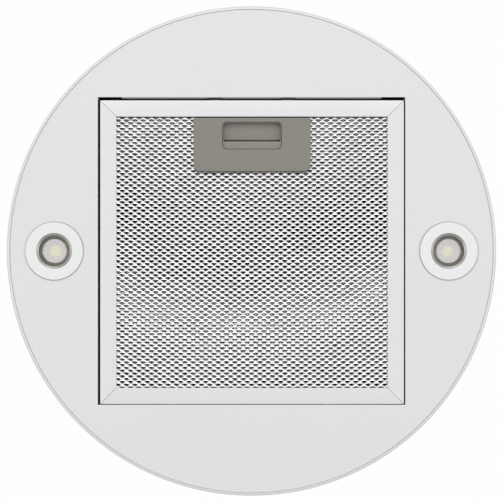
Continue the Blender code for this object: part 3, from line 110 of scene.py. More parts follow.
# ---------------------------------------------------------------- values a user would change
class HoodSizes(bpy.types.PropertyGroup):
    cell_long: bpy.props.FloatProperty(
        name="Mesh cell length",
        description="Length of one diamond of the expanded mesh, along X",
        default=0.0063,
        unit="LENGTH",
    )
    cell_short: bpy.props.FloatProperty(
        name="Mesh cell width",
        description="Width of one diamond of the expanded mesh, along Y",
        default=0.00425,
        unit="LENGTH",
    )
    sheet: bpy.props.FloatProperty(
        name="Mesh sheet",
        description="Thickness of the sheet that the mesh is cut from",
        default=0.00034,
        unit="LENGTH",
    )
    grip_bar: bpy.props.FloatProperty(
        name="Grip bar",
        description="Visible width of the bar that draws the latch",
        default=0.0060,
        unit="LENGTH",
    )
    recess_width: bpy.props.FloatProperty(
        name="Recess width",
        description="Width of the finger recess in the handle",
        default=0.0451,
        unit="LENGTH",
    )
    recess_length: bpy.props.FloatProperty(
        name="Recess length",
        description="Length of the finger recess in the handle",
        default=0.0208,
        unit="LENGTH",
    )
    camera_distance: bpy.props.FloatProperty(
        name="Camera distance",
        description="How far below the underside the camera stands",
        default=1.8,
        unit="LENGTH",
    )


class HoodColours(bpy.types.PropertyGroup):
    paint: bpy.props.FloatVectorProperty(
        name="Paint",
        description="Satin white of the shells",
        default=(0.780, 0.780, 0.796),
        subtype="COLOR",
    )
    aluminium: bpy.props.FloatVectorProperty(
        name="Aluminium", description="Satin filter frame", default=(0.795, 0.795, 0.805), subtype="COLOR"
    )
    mesh: bpy.props.FloatVectorProperty(
        name="Mesh", description="Bright expanded sheet", default=(0.91, 0.90, 0.905), subtype="COLOR"
    )
    handle: bpy.props.FloatVectorProperty(
        name="Handle",
        description="Taupe moulding of the handle",
        default=(0.246, 0.231, 0.206),
        subtype="COLOR",
    )
    bezel: bpy.props.FloatVectorProperty(
        name="Bezel", description="Rings round the lights", default=(0.86, 0.86, 0.86), subtype="COLOR"
    )


def sizes():
    return bpy.context.scene.hood_sizes


def colours():
    return bpy.context.scene.hood_colours


# ---------------------------------------------------------------- shader maths
class Wire:
    """What leaves a socket of one finish. Arithmetic on it adds Math nodes to that finish."""

    def __init__(self, finish, socket):
        self.finish = finish
        self.socket = socket

    def math(self, operation, *terms):
        return self.finish.node("ShaderNodeMath", {"operation": operation}, dict(enumerate(terms)))

    def __add__(self, other):
        return self.math("ADD", self, other)

    def __sub__(self, other):
        return self.math("SUBTRACT", self, other)

    def __rsub__(self, other):
        return self.math("SUBTRACT", other, self)

    def __mul__(self, other):
        return self.math("MULTIPLY", self, other)

    def __truediv__(self, other):
        return self.math("DIVIDE", self, other)

    def __pow__(self, other):
        return self.math("POWER", self, other)

    __radd__ = __add__
    __rmul__ = __mul__

    def band(self, start, end):
        """0 below start and 1 above end, smoothly between them."""
        return self.finish.node(
            "ShaderNodeMapRange",
            {"interpolation_type": "SMOOTHSTEP"},
            {0: self, 1: start, 2: end, 3: 0.0, 4: 1.0},
        )


class Finish:
    """One procedural material, ending in a Principled shader."""

    def __init__(self, name, colour, roughness, metallic=0.0, **constants):
        self.material = bpy.data.materials.new(name)
        self.material.use_nodes = True
        self.tree = self.material.node_tree
        self.shader = self.tree.nodes["Principled BSDF"]
        self.feed("Base Color", (*colour, 1.0))
        self.feed("Roughness", roughness)
        self.feed("Metallic", metallic)
        for socket, value in constants.items():
            self.feed(socket.replace("_", " ").title().replace("Ior", "IOR"), value)

    def node(self, kind, settings=None, inputs=None, output=0):
        """Adds a node: its settings first, then a value or a link for each socket named."""
        made = self.tree.nodes.new(kind)
        for setting, value in (settings or {}).items():
            setattr(made, setting, value)
        for key, value in (inputs or {}).items():
            if isinstance(value, Wire):
                self.tree.links.new(value.socket, made.inputs[key])
            else:
                made.inputs[key].default_value = value
        return Wire(self, made.outputs[output])

    def feed(self, socket, value):
        if isinstance(value, Wire):
            self.tree.links.new(value.socket, self.shader.inputs[socket])
        else:
            self.shader.inputs[socket].default_value = value

    def place(self, scale=(1.0, 1.0, 1.0), turn=(0.0, 0.0, 0.0)):
        """The spot on the object in metres, stretched by a scale along each axis."""
        spot = self.node("ShaderNodeTexCoord", output=3)
        return self.node("ShaderNodeMapping", None, {"Vector": spot, "Rotation": turn, "Scale": scale})

    def axis(self, index):
        spot = self.node("ShaderNodeTexCoord", output=3)
        return self.node("ShaderNodeSeparateXYZ", None, {0: spot}, index)

    def noise(self, scale, detail=2.0, stretch=(1.0, 1.0, 1.0), rough=0.5):
        where = self.place(stretch)
        return self.node(
            "ShaderNodeTexNoise",
            None,
            {"Vector": where, "Scale": scale, "Detail": detail, "Roughness": rough},
        )

    def cells(self, scale, output=0, feature="F1"):
        where = self.place()
        inputs = {"Vector": where, "Scale": scale}
        return self.node("ShaderNodeTexVoronoi", {"feature": feature}, inputs, output)

    def blend(self, share, first, second):
        """A colour between two colours."""
        inputs = {0: share, 6: first, 7: second}
        inputs = {k: (*v, 1.0) if isinstance(v, tuple) and len(v) == 3 else v for k, v in inputs.items()}
        return self.node("ShaderNodeMix", {"data_type": "RGBA"}, inputs, 2)

    def bump(self, height, depth, strength=1.0, under=None):
        inputs = {"Height": height, "Distance": depth, "Strength": strength}
        if under is not None:
            inputs["Normal"] = under
        wire = self.node("ShaderNodeBump", None, inputs)
        self.feed("Normal", wire)
        return wire


def shade(colour, factor):
    return tuple(min(1.0, c * factor) for c in colour)


def painted(name, colour, roughness=0.34):
    """Powder coat: a fine orange peel, a faint drift in tone, and specks of duller dust."""
    finish = Finish(name, colour, roughness, coat_weight=0.12, coat_roughness=0.25)
    drift = finish.noise(7.0, 3.0)
    speck = finish.noise(900.0, 1.0).band(0.70, 0.78)
    tone = finish.blend(drift, shade(colour, 0.985), shade(colour, 1.012))
    finish.feed("Base Color", finish.blend(speck * 0.10, tone, shade(colour, 0.72)))
    finish.feed("Roughness", roughness + (finish.noise(60.0, 3.0) - 0.5) * 0.10 + speck * 0.10)
    finish.bump(finish.noise(520.0, 2.0), 0.000045, 0.35)
    return finish.material


def extruded(name, colour, across, roughness=0.42, metallic=0.05):
    """Satin extrusion: die lines that run along the strip, so they vary only across it."""
    finish = Finish(name, colour, roughness, metallic)
    stretch = [0.02, 0.02, 0.02]
    stretch[across] = 1.0
    lines = finish.noise(2600.0, 4.0, tuple(stretch), 0.75)
    broad = finish.noise(480.0, 2.0, tuple(stretch), 0.6)
    smear = finish.noise(26.0, 4.0)
    tone = finish.blend(lines, shade(colour, 0.982), shade(colour, 1.018))
    finish.feed("Base Color", finish.blend(smear.band(0.55, 0.75) * 0.08, tone, shade(colour, 0.92)))
    finish.feed("Roughness", roughness + (lines - 0.5) * 0.16 + (broad - 0.5) * 0.12)
    finish.bump(lines + broad, 0.00003, 0.5)
    return finish.material


def expanded(name, colour, roughness, metallic=1.0):
    """Bright rolled sheet, cut and stretched: torn edges are duller, and each stretch of strand differs."""
    finish = Finish(name, colour, roughness, metallic)
    strand = finish.noise(330.0, 2.0)
    grain = finish.noise(3200.0, 2.0)
    film = finish.noise(34.0, 3.0).band(0.52, 0.76)
    tone = finish.blend(strand, shade(colour, 0.86), shade(colour, 1.06))
    oily = (colour[0] * 0.86, colour[1] * 0.85, colour[2] * 0.80)
    finish.feed("Base Color", finish.blend(film * 0.14, tone, oily))
    finish.feed("Roughness", roughness + (strand - 0.5) * 0.30 + film * 0.10)
    finish.bump(grain + strand, 0.00006, 0.6)
    return finish.material


def moulded(name, colour, roughness=0.5, grain=0.00005, pitch=2300.0):
    """Spark-eroded plastic: a fine even grain, faint flow marks, and a slight polish where it is rubbed."""
    finish = Finish(name, colour, roughness)
    flow = finish.noise(24.0, 3.0, (1.0, 0.35, 1.0))
    pit = finish.noise(pitch, 2.0, rough=0.6)
    tone = finish.blend(flow, shade(colour, 0.95), shade(colour, 1.05))
    finish.feed("Base Color", finish.blend(pit.band(0.56, 0.74) * 0.22, tone, shade(colour, 0.82)))
    finish.feed("Roughness", roughness + (pit - 0.5) * 0.22 - flow.band(0.55, 0.75) * 0.07)
    finish.bump(pit, grain, 0.6)
    return finish.material


def plated(name, colour, roughness=0.38):
    """Zinc plate: large flat spangles of different tone over fine rolling scratches."""
    finish = Finish(name, colour, roughness, 0.9)
    spangle = finish.node("ShaderNodeSeparateColor", None, {0: finish.cells(95.0, 1)})
    scratch = finish.noise(900.0, 3.0, (0.06, 1.0, 0.06), 0.7)
    dullness_and_painted_shade = finish.noise(18.0, 4.0).band(0.5, 0.8)
    tone = finish.blend(spangle, shade(colour, 0.84), shade(colour, 1.16))
    finish.feed("Base Color", finish.blend(dullness_and_painted_shade * 0.3, tone, shade(colour, 0.7)))
    finish.feed("Roughness", roughness + (spangle - 0.5) * 0.22 + (scratch - 0.5) * 0.16)
    finish.bump(scratch, 0.00003, 0.5)
    return finish.material


def turned(name, colour, centre, plane=(0, 1), roughness=0.28, metallic=1.0):
    """Metal finished on a lathe: rings that vary only with the distance from the axis."""
    finish = Finish(name, colour, roughness, metallic)
    first = finish.axis(plane[0]) - centre[0]
    second = finish.axis(plane[1]) - centre[1]
    radius = (first * first + second * second) ** 0.5
    inputs = {"W": radius, "Scale": 5200.0, "Detail": 3.0}
    ring = finish.node("ShaderNodeTexNoise", {"noise_dimensions": "1D"}, inputs)
    finish.feed("Base Color", finish.blend(ring, shade(colour, 0.86), shade(colour, 1.1)))
    finish.feed("Roughness", roughness + (ring - 0.5) * 0.3)
    finish.bump(ring, 0.00003, 0.6)
    return finish.material


def circuit(name, colour):
    """Solder mask over copper tracks, with tinned pads."""
    finish = Finish(name, colour, 0.38)
    where = finish.place((1.0, 1.0, 1.0))
    track = finish.node(
        "ShaderNodeTexBrick",
        None,
        {"Vector": where, "Scale": 55.0, "Mortar Size": 0.045, "Mortar Smooth": 0.1},
        1,
    )
    pad = 1.0 - finish.cells(210.0).band(0.16, 0.22)
    copper = finish.blend(track, colour, shade(colour, 1.7))
    finish.feed("Base Color", finish.blend(pad, copper, (0.62, 0.62, 0.58)))
    finish.feed("Metallic", pad * 0.8)
    finish.feed("Roughness", 0.42 - track * 0.08 - pad * 0.12)
    finish.bump(track + pad, 0.00008, 0.6)
    return finish.material


def phosphor(name, centre, chip_radius, board_colour):
    """White reflective board with a round dam of yellow phosphor over the chips, which show as a grid, and
    a painted glow where the board lies in shade.
    """
    finish = Finish(name, board_colour, 0.45)
    x = finish.axis(0) - centre
    y = finish.axis(1)
    radius = (x * x + y * y) ** 0.5
    inside = 1.0 - radius.band(chip_radius * 0.96, chip_radius * 1.03)
    dam = radius.band(chip_radius * 0.90, chip_radius * 0.98) * inside
    dot = 1.0 - finish.cells(1100.0).band(0.25, 0.45)
    grain = finish.noise(2600.0, 2.0)
    board = finish.blend(grain, shade(board_colour, 0.95), shade(board_colour, 1.03))
    yellow = finish.blend(dot * 0.35, (0.80, 0.74, 0.475), (0.70, 0.60, 0.30))
    yellow = finish.blend(dam * 0.75, yellow, (0.86, 0.84, 0.76))
    finish.feed("Base Color", finish.blend(inside, board, yellow))
    # Painted glow: the lamp is off, and this emission brightens the board and the phosphor where the deep
    # cone shades them.
    painted_glow = finish.blend(inside, shade(board_colour, 0.22), (0.52, 0.49, 0.10))
    finish.feed("Emission Color", painted_glow)
    finish.feed("Emission Strength", 0.75)
    finish.feed("Roughness", 0.5 - inside * 0.18)
    finish.bump(grain + dam * 2.0, 0.00008, 0.5)
    return finish.material


def lens_glass(name, centre):
    """Clear moulded lens with faint concentric steps and a little haze."""
    finish = Finish(name, (0.96, 0.96, 0.96), 0.12, coat_weight=0.3, coat_roughness=0.05)
    x = finish.axis(0) - centre
    y = finish.axis(1)
    radius = (x * x + y * y) ** 0.5
    step = finish.node("ShaderNodeMath", {"operation": "FRACT"}, {0: radius * 900.0})
    haze = finish.noise(260.0, 3.0)
    frosted = 1.0 - (radius + (haze - 0.5) * 0.0014).band(0.0084, 0.0095)
    finish.feed("Alpha", 0.03 + frosted * (0.26 + haze * 0.10))
    finish.feed("Roughness", 0.10 + haze * 0.12 + frosted * 0.25)
    finish.bump(step, 0.00003, 0.25)
    finish.material.surface_render_method = "BLENDED"
    return finish.material


# ---------------------------------------------------------------- surfaces from arrays
def grid_faces(count_u, count_v, round_u=False, round_v=False, skip=None):
    """Quads of a grid numbered u * count_v + v. A skip mask of cells leaves those out."""
    u = np.arange(count_u if round_u else count_u - 1)
    v = np.arange(count_v if round_v else count_v - 1)
    u, v = np.meshgrid(u, v, indexing="ij")
    u2, v2 = (u + 1) % count_u, (v + 1) % count_v
    quads = np.stack((u * count_v + v, u2 * count_v + v, u2 * count_v + v2, u * count_v + v2), axis=-1)
    if skip is not None:
        return quads[~skip]
    return quads.reshape(-1, 4)


def weld(parts):
    """Joins (points, faces) pairs into one pair, with the second's numbers moved past the first's."""
    points, faces, start = [], [], 0
    for some, quads in parts:
        points.append(some)
        faces.append(quads + start)
        start += len(some)
    return np.concatenate(points), np.concatenate(faces)


def share(points, faces, tolerance=2e-7):
    """Gives points that coincide one number, by sorting their rounded places."""
    keys = np.round(points / tolerance).astype(np.int64)
    _, first, back = np.unique(keys, axis=0, return_index=True, return_inverse=True)
    return points[first], back.reshape(-1)[faces], first


def walled(outer, inner, faces):
    """Closed wall between two sheets of the same faces: the sheets, and a strip along each free edge.
    A free edge is a directed side of a face that no other face runs the opposite way."""
    count = len(outer)
    sides = np.stack((faces, np.roll(faces, -1, axis=1)), axis=-1).reshape(-1, 2)
    sides = sides[sides[:, 0] != sides[:, 1]]
    forward = sides[:, 0] * count + sides[:, 1]
    backward = sides[:, 1] * count + sides[:, 0]
    free = sides[~np.isin(forward, backward)]
    strips = np.stack((free[:, 1], free[:, 0], free[:, 0] + count, free[:, 1] + count), axis=-1)
    quads = np.concatenate((faces, faces[:, ::-1] + count, strips))
    return np.concatenate((outer, inner)), quads


def arc(centre, radius, start, end, steps):
    """Points on a circle between two angles in degrees."""
    angle = np.radians(np.linspace(start, end, steps + 1))
    return np.stack((centre[0] + radius * np.cos(angle), centre[1] + radius * np.sin(angle)), axis=-1)


def softened(corners, radius, steps=3):
    """A closed outline whose every corner is cut to a quarter-like curve: each corner is replaced by
    points of the quadratic curve from one side, at the radius from the corner, to the next side."""
    corners = np.asarray(corners, float)
    back = np.roll(corners, 1, axis=0) - corners
    ahead = np.roll(corners, -1, axis=0) - corners
    shorter = np.minimum(np.linalg.norm(back, axis=1), np.linalg.norm(ahead, axis=1))
    reach = np.minimum(radius, 0.45 * shorter)
    start = corners + back / np.linalg.norm(back, axis=1, keepdims=True) * reach[:, None]
    end = corners + ahead / np.linalg.norm(ahead, axis=1, keepdims=True) * reach[:, None]
    t = np.linspace(0, 1, steps + 1)[None, :, None]
    curve = (1 - t) ** 2 * start[:, None] + 2 * t * (1 - t) * corners[:, None] + t**2 * end[:, None]
    return curve.reshape(-1, 2)


def lathed(profile, centre=(0.0, 0.0, 0.0), axis="Z", steps=96, closed=True):
    """A (radius, height) profile carried once round an axis."""
    profile = np.asarray(profile, float)
    angle = np.arange(steps) * TURN / steps
    radius, height = profile[:, 0], profile[:, 1]
    first = np.cos(angle)[:, None] * radius
    second = np.sin(angle)[:, None] * radius
    third = np.broadcast_to(height, first.shape)
    order = {"X": (third, first, second), "Y": (second, third, first), "Z": (first, second, third)}[axis]
    points = np.stack(order, axis=-1).reshape(-1, 3) + np.asarray(centre)
    return points, grid_faces(steps, len(profile), True, closed)


def prismed(outline, start, end, axis="Z", bevel=0.0):
    """A closed outline carried straight along an axis, with both ends drawn in by the bevel.
    Rings: the ends' middle, the drawn-in ends, and the full section. The outline is star-shaped."""
    outline = np.asarray(outline, float)
    middle = outline.mean(axis=0)
    arms = outline - middle
    size = np.linalg.norm(arms, axis=1, keepdims=True)
    drawn = middle + arms * (1 - bevel / size)
    rings = [np.broadcast_to(middle, outline.shape), drawn, outline, outline, drawn]
    rings.append(rings[0])
    step = math.copysign(bevel, end - start)
    heights = [start, start, start + step, end - step, end, end]
    flat = np.stack(rings)
    third = np.broadcast_to(np.array(heights)[:, None], flat.shape[:2])
    first, second = flat[..., 0], flat[..., 1]
    order = {"X": (third, first, second), "Y": (first, third, second), "Z": (first, second, third)}[axis]
    points = np.stack(order, axis=-1).reshape(-1, 3)
    return points, grid_faces(len(rings), len(outline), False, True)


def boxed(lowest, highest, bevel=0.0003):
    """A box with its edges drawn in."""
    (x0, y0, z0), (x1, y1, z1) = lowest, highest
    outline = softened(((x0, y0), (x1, y0), (x1, y1), (x0, y1)), bevel * 1.5, 3)
    return prismed(outline, z0, z1, "Z", bevel)


def rounded_outline(x0, y0, x1, y1, front, rear, steps=8, side=10):
    """A rectangle with front and rear corner radii and the same number of points for any size:
    an arc at each corner, and evenly spread points along each side."""
    rounds = []
    for x, y, ix, iy, radius, start in (
        (x0, y0, 1, 1, front, 180),
        (x1, y0, -1, 1, front, 270),
        (x1, y1, -1, -1, rear, 0),
        (x0, y1, 1, -1, rear, 90),
    ):
        rounds.append(arc((x + ix * radius, y + iy * radius), radius, start, start + 90, steps))
    outline = []
    for k, curve in enumerate(rounds):
        following = rounds[(k + 1) % 4][0]
        share_of_side = np.linspace(0, 1, side + 2)[1:-1, None]
        outline += [curve, curve[-1] * (1 - share_of_side) + following * share_of_side]
    return np.concatenate(outline)


def ringed(rings, close=False):
    """A surface through a list of (outline, z) rings that have equal counts of points."""
    points = [np.column_stack((outline, np.full(len(outline), z))) for outline, z in rings]
    count = len(points[0])
    return np.concatenate(points), grid_faces(len(points), count, close, True)


def make_piece(name, surface, material, body, stands_for=(), smooth=40.0):
    """Puts the arrays into a mesh, merges coinciding points, points it outwards and makes it ride."""
    points, faces = surface
    mesh = bpy.data.meshes.new(name)
    mesh.vertices.add(len(points))
    mesh.vertices.foreach_set("co", np.ascontiguousarray(points, np.float32).ravel())
    mesh.loops.add(faces.size)
    mesh.loops.foreach_set("vertex_index", np.ascontiguousarray(faces, np.int32).ravel())
    mesh.polygons.add(len(faces))
    mesh.polygons.foreach_set("loop_start", np.arange(len(faces), dtype=np.int32) * faces.shape[1])
    mesh.update(calc_edges=True)
    bm = bmesh.new()
    bm.from_mesh(mesh)
    bmesh.ops.remove_doubles(bm, verts=bm.verts, dist=2e-6)
    loose = [v for v in bm.verts if not v.link_faces]
    bmesh.ops.delete(bm, geom=loose, context="VERTS")
    bmesh.ops.recalc_face_normals(bm, faces=bm.faces)
    bm.to_mesh(mesh)
    bm.free()
    mesh.shade_smooth()
    mesh.set_sharp_from_angle(angle=math.radians(smooth))
    mesh.materials.append(material)
    piece = bpy.data.objects.new(name, mesh)
    bpy.context.scene.collection.objects.link(piece)
    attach(piece, body)
    if stands_for:
        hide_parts(*stands_for)
    return piece


# ---------------------------------------------------------------- the shells
def round_steps(edges):
    """Angles round the shell: even steps, plus the exact angles of the cut-outs' edges."""
    even = np.arange(ROUND) * TURN / ROUND
    edges = np.mod(np.asarray(edges), TURN)
    far = np.min(np.abs(even[:, None] - edges[None, :]), axis=1) > 0.25 * TURN / ROUND
    return np.sort(np.concatenate((even[far], edges)))


def tube_wall(outer_path, inner_path, angles, skip):
    """Two (radius, height) paths carried round the same angles, joined into one closed wall."""
    turn = np.stack((np.cos(angles), np.sin(angles)), axis=-1)[:, None]

    def carried(path):
        flat = turn * path[None, :, :1]
        tall = np.broadcast_to(path[None, :, 1:], (*flat.shape[:2], 1))
        return np.concatenate((flat, tall), axis=-1).reshape(-1, 3)

    faces = grid_faces(len(angles), len(outer_path), True, False, skip)
    return walled(carried(outer_path), carried(inner_path), faces)


def between(values, start, end):
    """Which cells between neighbouring values lie inside a span."""
    middle = (values[:-1] + values[1:]) / 2
    return (middle > start) & (middle < end)


def angle_cells(angles, centre, half):
    """Which cells between neighbouring angles lie within half of a centre."""
    middle = angles + np.diff(np.append(angles, angles[0] + TURN)) / 2
    away = np.abs(np.mod(middle - centre + math.pi, TURN) - math.pi)
    return away < half


class AddShells(bpy.types.Operator):
    """Makes the two telescopic tubes: the lower one's edge is rolled in, and the upper one has louvres."""

    bl_idname = "hood.add_shells"
    bl_label = "Shells"

    def execute(self, context):
        paint = painted("white_paint", tuple(colours().paint))
        roll = SHELL_R - PLATE_R - GAP / 3
        bend = (SHELL_R - roll, RIM_Z + roll)
        band_low = float(STRIP_BAND[0][2]) + 0.004
        band_high = float(STRIP_BAND[1][2]) - 0.004
        rise = np.array([0.012, 0.03, band_low, band_high, 0.12, 0.2, 0.35, 0.5, SHELL_TOP - 0.0006])
        outer = [arc(bend, roll, -90, 0, 8), np.column_stack((np.full(len(rise), SHELL_R), rise))]
        inside = SHELL_R - SHEET
        inner = [arc(bend, roll - SHEET, -90, 0, 8), np.column_stack((np.full(len(rise), inside), rise))]
        outer.append(arc((SHELL_R - 0.0006, SHELL_TOP - 0.0006), 0.0006, 30, 90, 2))
        inner.append(np.column_stack((np.full(3, inside), np.full(3, SHELL_TOP - 0.0003))))
        outer, inner = np.concatenate(outer), np.concatenate(inner)
        half = math.radians(14.0)
        angles = round_steps((-math.pi / 2 - half, -math.pi / 2 + half))
        front = angle_cells(angles, -math.pi / 2, half)
        skip = front[:, None] & between(outer[:, 1], band_low, band_high)[None]
        make_piece(
            "lower_shell_skin",
            tube_wall(outer, inner, angles, skip),
            paint,
            "hood",
            ("lower_shell",),
            35,
        )

        wall = 0.001
        slot, spacing, count = 0.004, 0.010, 6
        start = UPPER_TOP - 0.002 - 0.030 - slot
        louvres = [(start - k * spacing, start - k * spacing + slot) for k in range(count)]
        edges = np.array(louvres).ravel()
        tall = np.unique(np.concatenate((np.linspace(UPPER_LOW, UPPER_TOP, 6), edges)))
        half = math.asin(0.045 / UPPER_R)
        angles = round_steps((-half, half, math.pi - half, math.pi + half))
        open_angles = angle_cells(angles, 0.0, half) | angle_cells(angles, math.pi, half)
        open_rows = np.zeros(len(tall) - 1, bool)
        for bottom, top in louvres:
            open_rows |= between(tall, bottom, top)
        outer = np.column_stack((np.full(len(tall), UPPER_R), tall))
        inner = outer - (wall, 0.0)
        skip = open_angles[:, None] & open_rows[None]
        make_piece(
            "upper_shell_skin",
            tube_wall(outer, inner, angles, skip),
            paint,
            "ceiling_mount",
            ("upper_shell",),
            35,
        )
        return {"FINISHED"}


# ---------------------------------------------------------------- the bottom plate
def plate_points(angles, reach, heights, fold):
    """The pressed plate's lower and upper faces as rings: down the opening's flange, round its fold, out
    over the flat, round the outer fold and up the edge. Each ring follows the square at the inside and
    the circle at the outside; over the flat it goes from one to the other in proportion. The front
    flange leans in towards the filter by a lean that is full from the third height up."""
    cos, sin = np.cos(angles), np.sin(angles)
    square = 1 / np.maximum(np.abs(cos), np.abs(sin))
    front = np.where(-sin > np.abs(cos) * 0.9999, 1.0, 0.0)
    corner = max(fold, SHEET)
    thin = corner - SHEET
    lower, upper = [], []

    def ring(faces, radius, height):
        faces.append(np.stack((radius * cos, radius * sin, np.full_like(cos, height)), axis=-1))

    for k, height in enumerate(heights):
        lean = 0.0008 * min(1.0, (len(heights) - k) / 3) * front
        ring(lower, (OPENING - lean) * square, height)
        ring(upper, (OPENING - lean + SHEET) * square, height)
    folded = np.radians(np.linspace(0, 90, 5))
    for a in folded:
        ring(lower, (OPENING + fold * (1 - math.cos(a))) * square, PLATE_Z + fold * (1 - math.sin(a)))
        ring(upper, (OPENING + corner - thin * math.cos(a)) * square, PLATE_Z + corner - thin * math.sin(a))
    inside = (OPENING + corner) * square
    outside = PLATE_R - corner
    for t in np.linspace(0, 1, reach):
        radius = inside * (1 - t) + outside * t
        ring(lower, radius, PLATE_Z)
        ring(upper, radius, PLATE_Z + SHEET)
    for a in folded[::-1]:
        low_rim, high_rim = PLATE_R - fold * (1 - math.cos(a)), PLATE_R - corner + thin * math.cos(a)
        ring(lower, np.full_like(cos, low_rim), PLATE_Z + fold * (1 - math.sin(a)))
        ring(upper, np.full_like(cos, high_rim), PLATE_Z + corner - thin * math.sin(a))
    rim = PLATE_Z + 0.8 * (PLATE_HIGH - PLATE_Z)
    ring(lower, np.full_like(cos, PLATE_R), rim)
    ring(upper, np.full_like(cos, PLATE_R - SHEET), rim)
    return np.stack(lower, axis=1), np.stack(upper, axis=1)


class AddBottomPlate(bpy.types.Operator):
    """Makes the round pressed plate with its flanged square opening and two light holes."""

    bl_idname = "hood.add_bottom_plate"
    bl_label = "Bottom plate"

    def execute(self, context):
        relief = 0.0178
        window = 0.0045 + 0.0013
        spacing = 0.0275
        tab = (0.060, 0.005 + 0.0013)
        marks = []
        for x in (OPENING - relief, spacing - window, spacing + window, tab[0] - tab[1], tab[0] + tab[1]):
            marks.append(math.atan2(x, OPENING))
        quarter = np.concatenate((-np.array(marks), marks, (math.pi / 4,)))
        edges = np.concatenate([np.mod(quarter + k * math.pi / 2, TURN) for k in range(4)])
        angles = round_steps(np.unique(edges))
        fold = 0.0003
        tongue_low = float(SLIDER_LOW[2]) + 0.0017
        tab_low = (float(FILTER_LOW[2]) + float(FILTER_HIGH[2])) / 2 - 0.0006
        heights = (PLATE_HIGH, PLATE_HIGH - 0.003, tongue_low + 0.0036, tab_low, tongue_low)
        lower, upper = plate_points(angles, 34, heights, fold)
        rings = lower.shape[1]
        faces_across = np.arange(rings - 1)
        middle = angles + np.diff(np.append(angles, angles[0] + TURN)) / 2
        along = OPENING * np.where(
            np.abs(np.sin(middle)) > np.abs(np.cos(middle)), np.cos(middle) / np.abs(np.sin(middle)), 9.0
        )
        front_rear = np.abs(along) < OPENING * 1.001
        corner = front_rear & (np.abs(along) > OPENING - relief)
        skip = corner[:, None] & (faces_across < 5)[None]
        tongue = front_rear & (np.sin(middle) < 0) & (np.abs(np.abs(along) - spacing) < window)
        rear = front_rear & (np.sin(middle) > 0) & (np.abs(np.abs(along) - tab[0]) < tab[1])
        skip |= tongue[:, None] & ((faces_across == 2) | (faces_across == 3))[None]
        skip |= rear[:, None] & ((faces_across == 1) | (faces_across == 2))[None]

        flat_start, flat_end = 11, rings - 7
        radius_of = np.linalg.norm(lower[..., :2], axis=-1)
        hole = float(high("light_reflector_right")[0] - low("light_reflector_right")[0]) / 2 + 0.0031
        patches = []
        for side in (-1, 1):
            centre = np.array((side * LIGHT_X, 0.0))
            base = 0 if side > 0 else int(np.argmin(np.abs(angles - math.pi)))
            span = int(round(math.atan(0.022 / LIGHT_X) / (TURN / ROUND)))
            row = radius_of[base]
            first = int(np.searchsorted(row[flat_start:flat_end], LIGHT_X - 0.0215)) + flat_start - 1
            last = int(np.searchsorted(row[flat_start:flat_end], LIGHT_X + 0.0215)) + flat_start
            around = np.arange(base - span, base + span + 1) % len(angles)
            skip[np.ix_(around[:-1], np.arange(first, last))] = True
            loop = [(i, first) for i in around]
            loop += [(around[-1], j) for j in range(first + 1, last + 1)]
            loop += [(i, last) for i in around[::-1][1:]]
            loop += [(around[0], j) for j in range(last - 1, first, -1)]
            where = np.array(loop)
            border = lower[where[:, 0], where[:, 1]][:, :2]
            bearing = np.arctan2(border[:, 1] - centre[1], border[:, 0] - centre[0])
            circle = centre + hole * np.stack((np.cos(bearing), np.sin(bearing)), axis=-1)
            t = np.linspace(0, 1, 5)[:, None, None]
            rings_of_patch = border[None] * (1 - t) + circle[None] * t
            patches.append(rings_of_patch)
        count = len(angles)
        faces = grid_faces(count, rings, True, False, skip)
        lower_parts = [(lower.reshape(-1, 3), faces)]
        upper_parts = [upper.reshape(-1, 3)]
        for patch in patches:
            levels, points = patch.shape[:2]
            flat = patch.reshape(-1, 2)
            face = np.column_stack((flat, np.full(len(flat), PLATE_Z)))
            lower_parts.append((face, grid_faces(levels, points, False, True)))
            upper_parts.append(np.column_stack((flat, np.full(len(flat), PLATE_Z + SHEET))))
        points, quads = weld(lower_parts)
        quads = self.facing_down(points, quads)
        points, quads, first = share(points, quads)
        surface = walled(points, np.concatenate(upper_parts)[first], quads)
        paint = painted("plate_paint", tuple(colours().paint), 0.36)
        make_piece("bottom_plate_skin", surface, paint, "hood", ("bottom_plate",), 35)
        return {"FINISHED"}

    def facing_down(self, points, quads):
        """Turns round the quads of the flat that face up, so that neighbours run the same way."""
        corners = points[quads]
        normal = np.cross(corners[:, 2] - corners[:, 0], corners[:, 3] - corners[:, 1])
        flat = np.ptp(corners[..., 2], axis=1) < 1e-9
        main = quads.copy()
        wrong = flat & (normal[:, 2] > 0)
        if wrong[: len(quads) // 2].sum() > (flat[: len(quads) // 2].sum() / 2):
            main = main[:, ::-1].copy()
            wrong = flat & (normal[:, 2] < 0)
        main[wrong] = main[wrong][:, ::-1]
        return main


